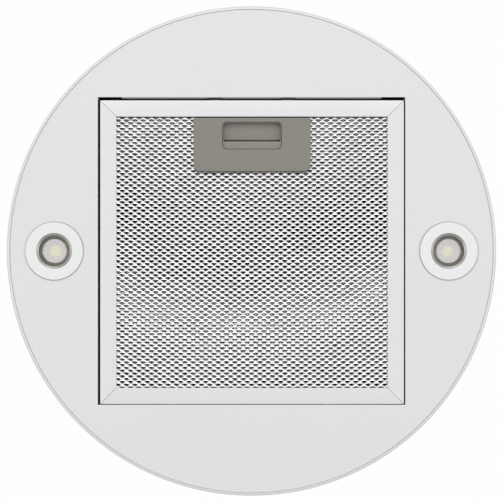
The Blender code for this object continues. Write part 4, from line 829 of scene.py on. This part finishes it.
# ---------------------------------------------------------------- the grease filter
class AddFilterFrame(bpy.types.Operator):
    """Makes the four mitred channels of the grease filter, with rolled corners and a hemmed lip."""

    bl_idname = "hood.add_filter_frame"
    bl_label = "Filter frame"

    def execute(self, context):
        z0, z1 = float(FILTER_LOW[2]), float(FILTER_HIGH[2])
        wall, fillet = 0.0008, 0.0003
        tips, hem = 3, 0.00012
        outer = np.concatenate(
            (
                ((STRIP - hem, z0 + wall), (STRIP, z0 + wall - hem), (STRIP, z0 + hem), (STRIP - hem, z0)),
                arc((fillet, z0 + fillet), fillet, -90, -180, tips)[:],
                arc((fillet, z1 - fillet), fillet, 180, 90, tips),
                arc((STRIP - wall / 2, z1 - wall / 2), wall / 2, 90, -90, 2 * tips),
                ((wall, z1 - wall), (wall, z0 + wall)),
            )
        )
        names = ("front", "right", "rear", "left")
        for k, name in enumerate(names):
            material = extruded(f"filter_extrusion_{name}", tuple(colours().aluminium), 1 - k % 2)
            share_along = np.linspace(-1, 1, 9)[:, None]
            reach = (FILTER_HALF - outer[:, 0] - GAP / 2)[None]
            x = share_along * reach
            y = np.broadcast_to(outer[:, 0] - FILTER_HALF, x.shape)
            z = np.broadcast_to(outer[:, 1], x.shape)
            cos, sin = (1, 0, -1, 0)[k], (0, 1, 0, -1)[k]
            points = np.stack((x * cos - y * sin + FILTER_X, x * sin + y * cos + FILTER_Y, z), axis=-1)
            strip = points.reshape(-1, 3), grid_faces(9, len(outer), False, True)
            piece = make_piece(
                f"filter_strip_{name}",
                strip,
                material,
                "filter",
                (f"filter_frame_{name}",),
                20,
            )
            self.close_ends(piece)
        tabs = []
        rear = FILTER_Y + FILTER_HALF
        z = (z0 + z1) / 2
        for side in (-1, 1):
            middle = FILTER_X + side * 0.060
            near, far = (middle - 0.005, rear + 0.0001, z), (middle + 0.005, rear + 0.0045, z + 0.0012)
            tabs.append(boxed(near, far))
        tab_metal = extruded("filter_tab_metal", tuple(colours().aluminium), 1)
        make_piece("filter_rear_tabs", weld(tabs), tab_metal, "filter", (), 40)
        return {"FINISHED"}

    def close_ends(self, piece):
        """Fills the two mitred ends of a channel with one face each."""
        bm = bmesh.new()
        bm.from_mesh(piece.data)
        bmesh.ops.holes_fill(bm, edges=[e for e in bm.edges if e.is_boundary], sides=0)
        bmesh.ops.recalc_face_normals(bm, faces=bm.faces)
        bm.to_mesh(piece.data)
        bm.free()
        piece.data.set_sharp_from_angle(angle=math.radians(20))


PHASES = np.array((0.0, 0.15, 0.30, 0.50, 0.70, 0.85))  # of one cell along X
NEAR_EDGE = np.array((0.20, -0.17, -0.54, -0.60, -0.54, -0.17))  # towards -Y, in row pitches
FAR_EDGE = np.array((0.50, 0.47, 0.15, 0.08, 0.15, 0.47))  # towards +Y, in row pitches


def expanded_rows(x_span, rows, z, look, seed):
    """Rows of strands of an expanded sheet. Row k runs along X at k pitches, half a cell on from its
    neighbour. Its two edges are waves of their own, so that the hole between two rows is a wedge, flat
    along the far edge of the row before it. Across a strand s goes from 0 at the near edge to 1 at
    the far one, and its face stands at lift * (1 - 2 s) - crown * 4 s (1 - s) from the layer's middle,
    one sheet thick. A slow wave and a seeded jitter move it."""
    long_way, pitch = sizes().cell_long, sizes().cell_short / 2 * look["pitch"]
    rng = np.random.default_rng(seed)
    across = np.array(look["across"])
    start = math.floor(x_span[0] / long_way) - 2
    count = math.ceil((x_span[1] - x_span[0]) / long_way) + 4
    parts = []
    for parity in (0, 1):
        chosen = rows[np.mod(rows, 2) == parity]
        if len(chosen) == 0:
            continue
        along = (start + parity / 2 + np.arange(count)[:, None] + PHASES[None]).ravel() * long_way
        along = along + look["drift"][0]
        kept = (along > x_span[0] - 0.3 * long_way) & (along < x_span[1] + 0.3 * long_way)
        near, far = (np.tile(edge, count)[kept] * pitch for edge in (NEAR_EDGE, FAR_EDGE))
        along = along[kept]
        shape = (len(chosen), len(along))
        x = np.clip(along[None] + rng.normal(0, 0.00007, shape), *x_span)
        y = chosen[:, None] * pitch + look["drift"][1] + rng.normal(0, 0.00004, shape)
        y = y + look["warp"] * np.sin(x * 21 + seed) * np.cos(y * 13)
        middle = z + 0.00015 * np.sin(x * 95 + seed) * np.cos(y * 120) + rng.normal(0, 0.00003, shape)
        lift = look["lift"] * (1 + rng.normal(0, 0.10, shape))
        points = []
        for s, back in across:
            reach = near + (far - near) * s
            height = lift * (1 - 2 * s) - look["crown"] * 4 * s * (1 - s) + back * sizes().sheet
            points.append(np.stack((x, y + look["flip"] * reach, middle + height), axis=-1))
        tube = np.stack(points, axis=2)
        stops = (tube[:, :1], tube[:, -1:])
        ends = [np.repeat(stop.mean(axis=2, keepdims=True), len(across), axis=2) for stop in stops]
        tube = np.concatenate((ends[0], tube, ends[1]), axis=1)
        per_row = tube.shape[1] * tube.shape[2]
        faces = grid_faces(tube.shape[1], tube.shape[2], False, True)
        faces = (faces[None] + (np.arange(len(chosen)) * per_row)[:, None, None]).reshape(-1, 4)
        parts.append((tube.reshape(-1, 3), faces))
    return weld(parts)


FRONT_SECTION = ((0.0, 0), (0.35, 0), (1.0, 0), (1.0, 1), (0.0, 1))
PLAIN_SECTION = ((0.0, 0), (1.0, 0), (1.0, 1), (0.0, 1))


class AddFilterMesh(bpy.types.Operator):
    """Makes the expanded aluminium layers of the filter: a bright front one, and ones behind darkened with
    painted shade.
    """

    bl_idname = "hood.add_filter_mesh"
    bl_label = "Filter mesh"

    def execute(self, context):
        front_box = (low("filter_mesh_front"), high("filter_mesh_front"))
        z = float(front_box[0][2] + front_box[1][2]) / 2 + 0.0001
        deep = float(high("filter_mesh_pack")[2])
        bright = expanded("bright_expanded_sheet", tuple(colours().mesh), 0.37, 0.8)
        look = {
            "pitch": 1.0, "across": FRONT_SECTION, "drift": (0.0, 0.0), "warp": 0.00012,
            "lift": 0.00036, "crown": 0.00026, "flip": 1,
        }
        halves = (("mesh_front_near", -1, ("filter_mesh_front",)), ("mesh_front_far", 1, ()))
        for name, side, stands in halves:
            surface = self.layer(z, look, 3, side)
            make_piece(name, surface, bright, "filter", stands, 50)
        # The third value of each layer darkens its colour: painted shade for the shade that falls on the
        # sheets inside the pack.
        layers = (
            (z + 0.0015, 1.031, 0.74, (0.0, 0.0006), 1),
            (z + 0.0040, 0.972, 0.16, (0.0, 0.0014), -1),
            (deep - 0.0009, 1.015, 0.40, (0.0016, 0.0002), 1),
        )
        for k, (depth, ratio, dullness_and_painted_shade, drift, flip) in enumerate(layers):
            # The sheet's colour is darkened by its painted shade.
            inner = expanded(f"inner_expanded_sheet_{k + 1}", shade(tuple(colours().mesh), dullness_and_painted_shade), 0.34)
            look = {
                "pitch": ratio, "across": PLAIN_SECTION, "drift": drift, "warp": 0.0005,
                "lift": 0.00036, "crown": 0.0, "flip": flip,
            }
            surface = self.layer(depth, look, 11 + k, 0)
            stands = ("filter_mesh_pack",) if k == 0 else ()
            make_piece(f"mesh_layer_{k + 1}", surface, inner, "filter", stands, 50)
        return {"FINISHED"}

    def layer(self, z, look, seed, side):
        """One layer, or its near or far half, left open where the handle's body stands: whole rows
        behind the handle and two stretches beside it."""
        reach = FILTER_HALF - STRIP + 0.0024
        pitch = sizes().cell_short / 2 * look["pitch"]
        rows = np.arange(math.ceil((FILTER_Y - reach) / pitch), math.floor((FILTER_Y + reach) / pitch) + 1)
        place = rows * pitch + look["drift"][1]
        inside = np.abs(place - FILTER_Y) < reach
        if side:
            inside &= (place - FILTER_Y) * side >= 0
        rows, place = rows[inside], place[inside]
        body_half = float(HANDLE_HIGH[0] - HANDLE_LOW[0]) / 2 - 0.0015
        notch_rear = float(HANDLE_HIGH[1]) - 0.0014
        left, right = FILTER_X - reach, FILTER_X + reach
        spans = [((left, right), rows[place >= notch_rear], seed)]
        spans.append(((left, FILTER_X - body_half), rows[place < notch_rear], seed + 100))
        spans.append(((FILTER_X + body_half, right), rows[place < notch_rear], seed + 200))
        return weld([expanded_rows(span, some, z, look, s) for span, some, s in spans if len(some)])


# ---------------------------------------------------------------- handle and latch
class AddHandle(bpy.types.Operator):
    """Makes the moulded handle plate with its finger opening, and the walls behind it."""

    bl_idname = "hood.add_handle"
    bl_label = "Handle"

    def execute(self, context):
        x0, y0 = float(HANDLE_LOW[0]), float(HANDLE_LOW[1]) + HANDLE_SET_BACK
        x1, y1 = float(HANDLE_HIGH[0]), float(HANDLE_HIGH[1])
        z0 = float(HANDLE_LOW[2])
        z1 = z0 + 0.0012
        half_width, length = sizes().recess_width / 2, sizes().recess_length
        front = float(HANDLE_LOW[1]) + RECESS_INSET
        recess = (FILTER_X - half_width, front, FILTER_X + half_width, front + length)
        edge, lip = 0.00022, 0.00018

        def outer(inset):
            return rounded_outline(x0 + inset, y0 + inset, x1 - inset, y1 - inset, 0.0004, 0.0045 - inset)

        def opening(grow):
            a, b, c, d = recess
            return rounded_outline(a - grow, b - grow, c + grow, d + grow, 0.0036 + grow, 0.0036 + grow)

        bend = np.radians(np.linspace(0, 90, 5))
        rings = [(outer(0.0), z1)]
        rings += [(outer(edge * (1 - math.cos(a))), z0 + edge * (1 - math.sin(a))) for a in bend]
        rings += [(outer(edge) * (1 - t) + opening(lip) * t, z0) for t in (0.2, 0.4, 0.6, 0.8)]
        rings += [(opening(lip * (1 - math.cos(a))), z0 + lip * (1 - math.sin(a))) for a in bend[::-1]]
        rings += [(opening(0.0), z1)]
        plate = ringed(rings, close=True)
        plastic = moulded("taupe_moulding", tuple(colours().handle))
        make_piece("handle_skin", plate, plastic, "filter", ("handle_plate",), 40)

        wall, inset = 0.0015, 0.0018
        top = float(HANDLE_HIGH[2])
        a, b = x0 + inset, x1 - inset
        rear = y1 - inset
        tongue_z = float(SLIDER_LOW[2]) + 0.0023
        spans = [(a, b, z1 + 0.00001, tongue_z - GAP), (a, b, tongue_z + 0.0018 + GAP, top)]
        parts = [boxed((p, y0, r), (q, y0 + wall, s), 0.0001) for p, q, r, s in spans]
        posts = [a, FILTER_X - 0.0323, FILTER_X - 0.0227, FILTER_X + 0.0227, FILTER_X + 0.0323, b]
        for p, q in zip(posts[::2], posts[1::2], strict=True):
            parts.append(boxed((p, y0, tongue_z - GAP), (q, y0 + wall, tongue_z + 0.0018 + GAP), 0.0001))
        parts.append(boxed((a, rear - wall, z1 + 0.00001), (b, rear, top), 0.0002))
        for p, q in ((a, a + wall), (b - wall, b)):
            parts.append(boxed((p, y0 + wall, z1 + 0.00001), (q, rear - wall, top), 0.0002))
        make_piece("handle_walls", weld(parts), plastic, "filter", (), 40)
        return {"FINISHED"}


class AddLatch(bpy.types.Operator):
    """Makes the sprung latch: a pocket for the fingers, the bar that they draw, and two tongues."""

    bl_idname = "hood.add_latch"
    bl_label = "Latch"

    def execute(self, context):
        z0 = float(SLIDER_LOW[2])
        plate, pocket_wall = 0.0015, 0.0014
        y0 = float(HANDLE_LOW[1]) + 0.0018
        y1 = float(SLIDER_HIGH[1])
        x0, x1 = float(SLIDER_LOW[0]), float(SLIDER_HIGH[0])
        half = sizes().recess_width / 2
        front = float(HANDLE_LOW[1]) + RECESS_INSET
        end = front + sizes().recess_length
        rear = end - sizes().grip_bar
        deep = 0.0051

        middle_x = FILTER_X

        def rim(inset, undercut=0.0):
            left, right = middle_x - half + inset, middle_x + half - inset
            back_edge = rear - inset + land + undercut
            return rounded_outline(left, front + inset, right, back_edge, 0.0024, 0.0007)

        def groove(inset):
            left, right = middle_x - half + inset, middle_x + half - inset
            return rounded_outline(left, front + inset, right, end - inset, 0.0036 - inset, 0.0036 - inset)

        def back(grow):
            left, right = middle_x - half - grow, middle_x + half + grow
            return rounded_outline(left, y0 + GAP, right, rear + grow, 0.0008, 0.0008)

        def edge(inset):
            return rounded_outline(x0 + inset, y0 + inset, x1 - inset, y1 - inset, 0.0005, 0.0010)

        round_over, foot, land, groove_deep = 0.0004, 0.0010, 0.0011, 0.0009
        bend = np.radians(np.linspace(0, 90, 6))
        groove_top = z0 + groove_deep
        rings = [(edge(0.0), z0 + 0.0003), (edge(0.0003), z0), (groove(-0.0003), z0)]
        rings += [(groove(-0.00025), groove_top), (groove(0.00040), groove_top), (groove(0.00045), z0)]
        rings += [
            (rim(land - round_over * (1 - math.sin(a))), z0 + round_over * (1 - math.cos(a))) for a in bend
        ]
        undercut, slot, slot_roof, ledge = 0.0006, 0.0012, z0 + deep + 0.0008, land + 0.0003
        rings.append((rim(land, undercut), z0 + 0.0014))
        rings.append((rim(land, undercut), slot_roof))
        rings.append((rim(land + 0.0002, -slot), slot_roof))
        for a in bend:
            height = z0 + deep - 0.0012 - foot * (1 - math.sin(a)) * 0.3
            rings.append((rim(ledge + foot * (1 - math.cos(a)), -slot), height))
        floor = rim(ledge + foot, -slot)
        middle = floor.mean(axis=0)
        for t in (0.3, 0.65, 1.0):
            rings.append((floor * (1 - t) + middle * t, z0 + deep - 0.0012))
        under = back(pocket_wall)
        top = z0 + deep + pocket_wall
        rings.append((np.broadcast_to(under.mean(axis=0), under.shape), top))
        rings += [(under, top), (under, z0 + plate)]
        rings += [(edge(0.0), z0 + plate)]
        parts, tongues = [ringed(rings, close=True)], []
        tongue_z = z0 + 0.0023
        tip = float(SLIDER_LOW[1])
        for side in (-1, 1):
            x = FILTER_X + side * 0.0275
            left, right, root = x - 0.0045, x + 0.0045, y0 + 0.005
            tongue = softened(((left, tip), (right, tip), (right, root), (left, root)), 0.0012)
            tongues.append(prismed(tongue, tongue_z, tongue_z + 0.0018, "Z", 0.0003))
            near, far = (x - 0.0042, y0 + 0.0005, z0 + plate), (x + 0.0042, y0 + 0.0065, tongue_z + 0.0008)
            parts.append(boxed(near, far, 0.0002))
            lug = FILTER_X + side * (half + pocket_wall + 0.0058)
            lug_y = front + sizes().recess_length - 0.013
            near, far = (lug - 0.0025, lug_y, z0 + plate), (lug + 0.0025, lug_y + 0.0015, z0 + 0.0059)
            parts.append(boxed(near, far, 0.0002))
            self.add_spring(lug, lug_y + 0.0015 + GAP, side)
        # Painted light: the latch is the handle's taupe made 5 % lighter, which brightens the pocket floor
        # where shade falls.
        plastic = moulded("taupe_latch_moulding", shade(tuple(colours().handle), 1.05))
        make_piece("latch_skin", weld(parts), plastic, "latch", ("latch_slider",), 40)
        # Painted shade: the tongues are the handle's taupe darkened to a sixth, standing in for the shade
        # in the windows of the plate's flange.
        shaded_tongue_plastic = moulded("dark_tongue_moulding", shade(tuple(colours().handle), 0.16), 0.4)
        make_piece("latch_tongues", weld(tongues), shaded_tongue_plastic, "latch", (), 40)
        return {"FINISHED"}

    def add_spring(self, x, start, side):
        """A coil spring: a circle of wire carried along a helix about Y, with closed end turns."""
        name = "left" if side < 0 else "right"
        lowest, highest = low(f"latch_spring_{name}"), high(f"latch_spring_{name}")
        wire, turns, steps = 0.00028, 7, 24
        radius = float(highest[0] - lowest[0]) / 2 - wire
        centre_z = float(highest[2] + lowest[2]) / 2
        y0, y1 = float(lowest[1]) + wire, float(highest[1]) - wire
        t = np.linspace(0, 1, turns * steps + 1)
        eased = np.clip((t - 0.12) / 0.76, 0, 1) * 0.94 + np.clip(t / 0.12, 0, 1) * 0.03
        eased += np.clip((t - 0.88) / 0.12, 0, 1) * 0.03
        angle = t * turns * TURN
        around = np.arange(8) * TURN / 8
        reach = radius + wire * np.cos(around)[None]
        px = x + reach * np.cos(angle)[:, None]
        pz = centre_z + reach * np.sin(angle)[:, None]
        py = y0 + (y1 - y0) * eased[:, None] + wire * np.sin(around)[None]
        py = np.broadcast_to(py, px.shape)
        tube = np.stack((px, py, pz), axis=-1)
        ends = [np.broadcast_to(tube[k].mean(axis=0), tube[k].shape)[None] for k in (0, -1)]
        tube = np.concatenate((ends[0], tube, ends[1]))
        surface = tube.reshape(-1, 3), grid_faces(len(tube), 8, False, True)
        steel = turned("spring_steel_" + name, (0.60, 0.60, 0.61), (x, centre_z), (0, 2), 0.25)
        stands = (f"latch_spring_{name}",)
        coil = make_piece(f"latch_coil_{name}", surface, steel, "filter", stands, 60)
        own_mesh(coil)


# ---------------------------------------------------------------- the lights
class AddLights(bpy.types.Operator):
    """Makes the two downlights: bezel and body, bright ring, stepped cone, lens and LED board."""

    bl_idname = "hood.add_lights"
    bl_label = "Lights"

    def execute(self, context):
        for side, name in ((-1, "left"), (1, "right")):
            self.add_light(side * LIGHT_X, name)
        return {"FINISHED"}

    def add_light(self, x, name):
        centre = (x, 0.0, 0.0)
        top = float(high(f"light_body_{name}")[2])
        can = 0.0175
        bezel = painted(f"bezel_paint_{name}", tuple(colours().bezel), 0.28)
        flat, thick, mouth, throat = 0.0, 0.0012, 0.0134, 0.0116
        edge = 0.00025
        roof = top - 0.006
        profile = np.concatenate(
            (
                arc((mouth + 0.0004, flat + 0.0004), 0.0004, 180, 270, 4),
                arc((LIGHT_R - edge, flat + edge), edge, -90, 0, 5),
                ((LIGHT_R, thick), (can, thick), (can, top), (0.0, top), (0.0, roof)),
                ((can - 0.0022, roof), (can - 0.0022, thick + 0.0006), (mouth, thick + 0.0006)),
            )
        )
        body = lathed(profile, centre, steps=128)
        make_piece(f"light_housing_{name}", body, bezel, "hood", (f"light_body_{name}",), 35)

        # Painted shadow: a dark rubber gasket that shows just outside the bezel as the thin shadow line
        # round its edge.
        painted_shadow_gasket = moulded(f"gasket_rubber_{name}", (0.16, 0.16, 0.165), 0.6)
        lip, inner = LIGHT_R + 0.0003, LIGHT_R - 0.004
        under, over = thick + 0.00003, PLATE_Z - 0.00003
        band = np.array(((inner, under), (lip, under), (lip, over), (inner, over)))
        seal = lathed(band, centre, steps=128)
        make_piece(f"light_gasket_{name}", seal, painted_shadow_gasket, "hood", (), 35)

        metal = turned(f"light_ring_metal_{name}", (0.50, 0.48, 0.455), (x, 0.0), roughness=0.46)
        ring = np.concatenate(
            (
                arc((throat + 0.0002, 0.0013), 0.0002, 180, 240, 3),
                ((mouth - 0.00015, 0.00035), (mouth - 0.00015, 0.0016), (throat, 0.0016)),
            )
        )
        trim = lathed(ring, centre, steps=128)
        make_piece(f"light_ring_{name}", trim, metal, "hood", (), 35)

        lens_box = low(f"light_lens_{name}"), high(f"light_lens_{name}")
        z0, z1 = float(lens_box[0][2]), float(lens_box[1][2])
        radius = float(lens_box[1][0] - lens_box[0][0]) / 2
        lens = np.concatenate(
            (
                ((0.0, z0), (throat, z0)),
                arc((radius - 0.0003, z0 + 0.0003), 0.0003, -90, 0, 2),
                ((radius, z1), (0.0, z1)),
            )
        )
        glass = lens_glass(f"lens_{name}", x)
        disc, stands = lathed(lens, centre, steps=96), (f"light_lens_{name}",)
        make_piece(f"light_lens_skin_{name}", disc, glass, "hood", stands, 35)

        cone_box = low(f"light_reflector_{name}"), high(f"light_reflector_{name}")
        c0, c1 = float(cone_box[0][2]), float(cone_box[1][2])
        t = np.linspace(0, 1, 13)
        wide, narrow = 0.0115, 0.0090
        steps = 0.00012 * (np.arange(13) % 2)
        inside = np.column_stack((wide + (narrow - wide) * t**0.8 + steps, c0 + (c1 - c0) * t))
        outside = inside[::-1] + (0.0008, 0.0)
        flange = np.array(((radius - 0.0002, c0 + 0.0008), (radius - 0.0002, c0)))
        cone = np.concatenate((inside, outside, flange))
        # Painted shade: the cone's metal is dark, standing in for the shade and dark reflections inside the
        # cone.
        bright = turned(f"reflector_painted_shade_{name}", (0.16, 0.16, 0.165), (x, 0.0), roughness=0.24)
        funnel, stands = lathed(cone, centre, steps=96), (f"light_reflector_{name}",)
        make_piece(f"light_cone_{name}", funnel, bright, "hood", stands, 25)

        led_box = low(f"led_board_{name}"), high(f"led_board_{name}")
        chip_r = 0.0041
        l0, l1 = float(led_box[0][2]), float(led_box[1][2])
        face = l1 - 0.0016
        board = np.concatenate(
            (
                ((0.0, l0), (chip_r * 0.86, l0), (chip_r * 0.95, l0 + 0.0001)),
                ((chip_r, l0 + 0.0004), (chip_r, face)),
                ((radius, face), (radius, l1), (0.0, l1)),
            )
        )
        led = phosphor(f"led_face_{name}", x, chip_r, (0.80, 0.755, 0.70))
        module, stands = lathed(board, centre, steps=96), (f"led_board_{name}",)
        make_piece(f"led_module_{name}", module, led, "hood", stands, 35)


# ---------------------------------------------------------------- the controls
class AddControls(bpy.types.Operator):
    """Makes the four push buttons of the curved control strip."""

    bl_idname = "hood.add_controls"
    bl_label = "Controls"

    def execute(self, context):
        buttons = [n for n in NODES if n.startswith("button_") and n != "button_board"]
        for name in sorted(buttons):
            self.add_button(name)
        return {"FINISHED"}

    def add_button(self, name):
        """A dished cap with a rolled edge, a shoulder behind the strip, and a stem."""
        lowest, highest = low(name), high(name)
        x = float(lowest[0] + highest[0]) / 2
        y0, y1 = float(lowest[1]), float(highest[1])
        radius, edge = 0.0050, 0.0007
        shoulder = (float(highest[0] - lowest[0]) / 2, y1 - 0.0030 - 0.0012)
        dish = np.linspace(0, 1, 7)[:, None]
        face = np.column_stack((dish * (radius - edge), y0 + 0.0004 * (1 - dish**2)))
        profile = np.concatenate(
            (
                face,
                arc((radius - edge, y0 + edge), edge, -90, 0, 5),
                ((radius, shoulder[1]), (shoulder[0], shoulder[1]), (shoulder[0], shoulder[1] + 0.0012)),
                ((0.0015, shoulder[1] + 0.0012), (0.0015, y1), (0.0, y1)),
            )
        )
        surface = lathed(profile, (x, 0.0, CONTROL_Z), "Y", 64)
        cap = turned("button_cap_" + name, (0.52, 0.52, 0.53), (x, CONTROL_Z), (0, 2), 0.34, 0.35)
        make_piece(name + "_cap", surface, cap, name, (name,), 35)


# ---------------------------------------------------------------- the solids that stay
class FinishSolids(bpy.types.Operator):
    """Gives each solid that stays in view its own finish."""

    bl_idname = "hood.finish_solids"
    bl_label = "Inner parts"

    def execute(self, context):
        centre = (low("impeller") + high("impeller")) / 2
        axis = (float(centre[0]), float(centre[2]))
        steel = plated("zinc_steel", (0.56, 0.57, 0.58))
        black = moulded("black_moulding", (0.055, 0.055, 0.060), 0.48, 0.00006, 1500.0)
        grey = moulded("impeller_moulding", (0.11, 0.11, 0.115), 0.42, 0.00004, 1900.0)
        flaps = moulded("flap_moulding", (0.16, 0.16, 0.165), 0.45)
        finishes = {
            "motor_body": turned("motor_can", (0.48, 0.49, 0.50), axis, (0, 2)),
            "motor_shaft": turned("shaft_steel", (0.62, 0.62, 0.63), axis, (0, 2), 0.18),
            "motor_capacitor": turned("capacitor_can", (0.66, 0.66, 0.67), axis, (0, 2), 0.3),
            "impeller": grey,
            "flap_left": flaps,
            "flap_right": flaps,
            "scroll_front": black,
            "scroll_rear": black,
            "duct_collar": black,
            "electronics_cover": black,
            "cable_gland": black,
            "control_strip": extruded("control_strip_metal", (0.70, 0.70, 0.71), 2, 0.32),
            "control_electronics": circuit("power_board", (0.035, 0.17, 0.075)),
            "button_board": circuit("button_circuit", (0.035, 0.17, 0.075)),
        }
        for name, node in NODES.items():
            node.data.materials.clear()
            node.data.materials.append(finishes.get(name, steel))
        return {"FINISHED"}


# ---------------------------------------------------------------- the stage
class AddStage(bpy.types.Operator):
    """Sets the pale floor, the soft lights, the white room and the camera under the hood."""

    bl_idname = "hood.add_stage"
    bl_label = "Stage"

    def execute(self, context):
        self.add_floor()
        self.add_room()
        self.add_light("softbox_front", (0.0, -1.35, -1.75), 1.3, 14.5)
        self.add_light("softbox_left", (-1.5, 0.25, -1.4), 1.0, 7.0)
        self.add_light("softbox_right", (1.5, 0.25, -1.4), 1.0, 7.0)
        self.add_camera()
        return {"FINISHED"}

    def add_floor(self):
        side = np.linspace(-9, 9, 13)
        x, y = np.meshgrid(side, side, indexing="ij")
        points = np.stack((x, y, np.full_like(x, -6.0)), axis=-1).reshape(-1, 3)
        mesh = bpy.data.meshes.new("floor")
        mesh.from_pydata(points.tolist(), [], grid_faces(13, 13).tolist())
        floor = bpy.data.objects.new("floor", mesh)
        bpy.context.scene.collection.objects.link(floor)
        mesh.materials.append(painted("floor_paint", (0.86, 0.86, 0.86), 0.6))

    def add_room(self):
        world = bpy.data.worlds.new("white_room")
        world.use_nodes = True
        bpy.context.scene.world = world
        tree = world.node_tree
        background = tree.nodes["Background"]
        background.inputs["Strength"].default_value = 0.62
        seen = tree.nodes.new("ShaderNodeBackground")
        seen.inputs["Color"].default_value = (0.992, 0.992, 0.992, 1.0)
        path = tree.nodes.new("ShaderNodeLightPath")
        mix = tree.nodes.new("ShaderNodeMixShader")
        background.inputs["Color"].default_value = (0.99, 0.995, 1.0, 1.0)
        tree.links.new(path.outputs["Is Camera Ray"], mix.inputs[0])
        tree.links.new(background.outputs[0], mix.inputs[1])
        tree.links.new(seen.outputs[0], mix.inputs[2])
        tree.links.new(mix.outputs[0], tree.nodes["World Output"].inputs["Surface"])
        bpy.context.scene.view_settings.view_transform = "Standard"

    def add_light(self, name, place, size, power):
        light = bpy.data.lights.new(name, "AREA")
        light.shape = "DISK"
        light.size = size
        light.energy = power
        lamp = bpy.data.objects.new(name, light)
        lamp.location = place
        lamp.visible_camera = False
        aim = Vector((0.0, 0.0, 0.0)) - Vector(place)
        lamp.rotation_euler = aim.to_track_quat("-Z", "Y").to_euler()
        bpy.context.scene.collection.objects.link(lamp)

    def add_camera(self):
        distance = sizes().camera_distance
        half_view = SHELL_R * 250 / 245.05
        data = bpy.data.cameras.new("camera")
        data.lens = data.sensor_width / 2 * distance / half_view
        camera = bpy.data.objects.new("camera", data)
        camera.location = (-0.00114, -0.00075, -distance)
        camera.rotation_euler = (math.pi, 0.0, 0.0)
        bpy.context.scene.collection.objects.link(camera)
        bpy.context.scene.camera = camera


OPERATORS = (
    FinishSolids,
    AddShells,
    AddBottomPlate,
    AddFilterFrame,
    AddFilterMesh,
    AddHandle,
    AddLatch,
    AddLights,
    AddControls,
    AddStage,
)


class HoodPanel(bpy.types.Panel):
    """Lists the pieces of the hood in the sidebar."""

    bl_idname = "VIEW3D_PT_hood"
    bl_label = "Island hood"
    bl_space_type = "VIEW_3D"
    bl_region_type = "UI"
    bl_category = "Hood"

    def draw(self, context):
        for kind in OPERATORS:
            self.layout.operator(kind.bl_idname)
        for group in (context.scene.hood_sizes, context.scene.hood_colours):
            for name in group.bl_rna.properties.keys():
                if name not in ("rna_type", "name"):
                    self.layout.prop(group, name)


CLASSES = (HoodSizes, HoodColours, *OPERATORS, HoodPanel)


def register():
    for kind in CLASSES:
        bpy.utils.register_class(kind)
    bpy.types.Scene.hood_sizes = bpy.props.PointerProperty(type=HoodSizes)
    bpy.types.Scene.hood_colours = bpy.props.PointerProperty(type=HoodColours)


def unregister():
    del bpy.types.Scene.hood_sizes
    del bpy.types.Scene.hood_colours
    for kind in reversed(CLASSES):
        bpy.utils.unregister_class(kind)


def main():
    register()
    bpy.ops.hood.finish_solids()
    bpy.ops.hood.add_shells()
    bpy.ops.hood.add_bottom_plate()
    bpy.ops.hood.add_filter_frame()
    bpy.ops.hood.add_filter_mesh()
    bpy.ops.hood.add_handle()
    bpy.ops.hood.add_latch()
    bpy.ops.hood.add_lights()
    bpy.ops.hood.add_controls()
    bpy.ops.hood.add_stage()
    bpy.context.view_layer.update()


if __name__ == "__main__":
    main()
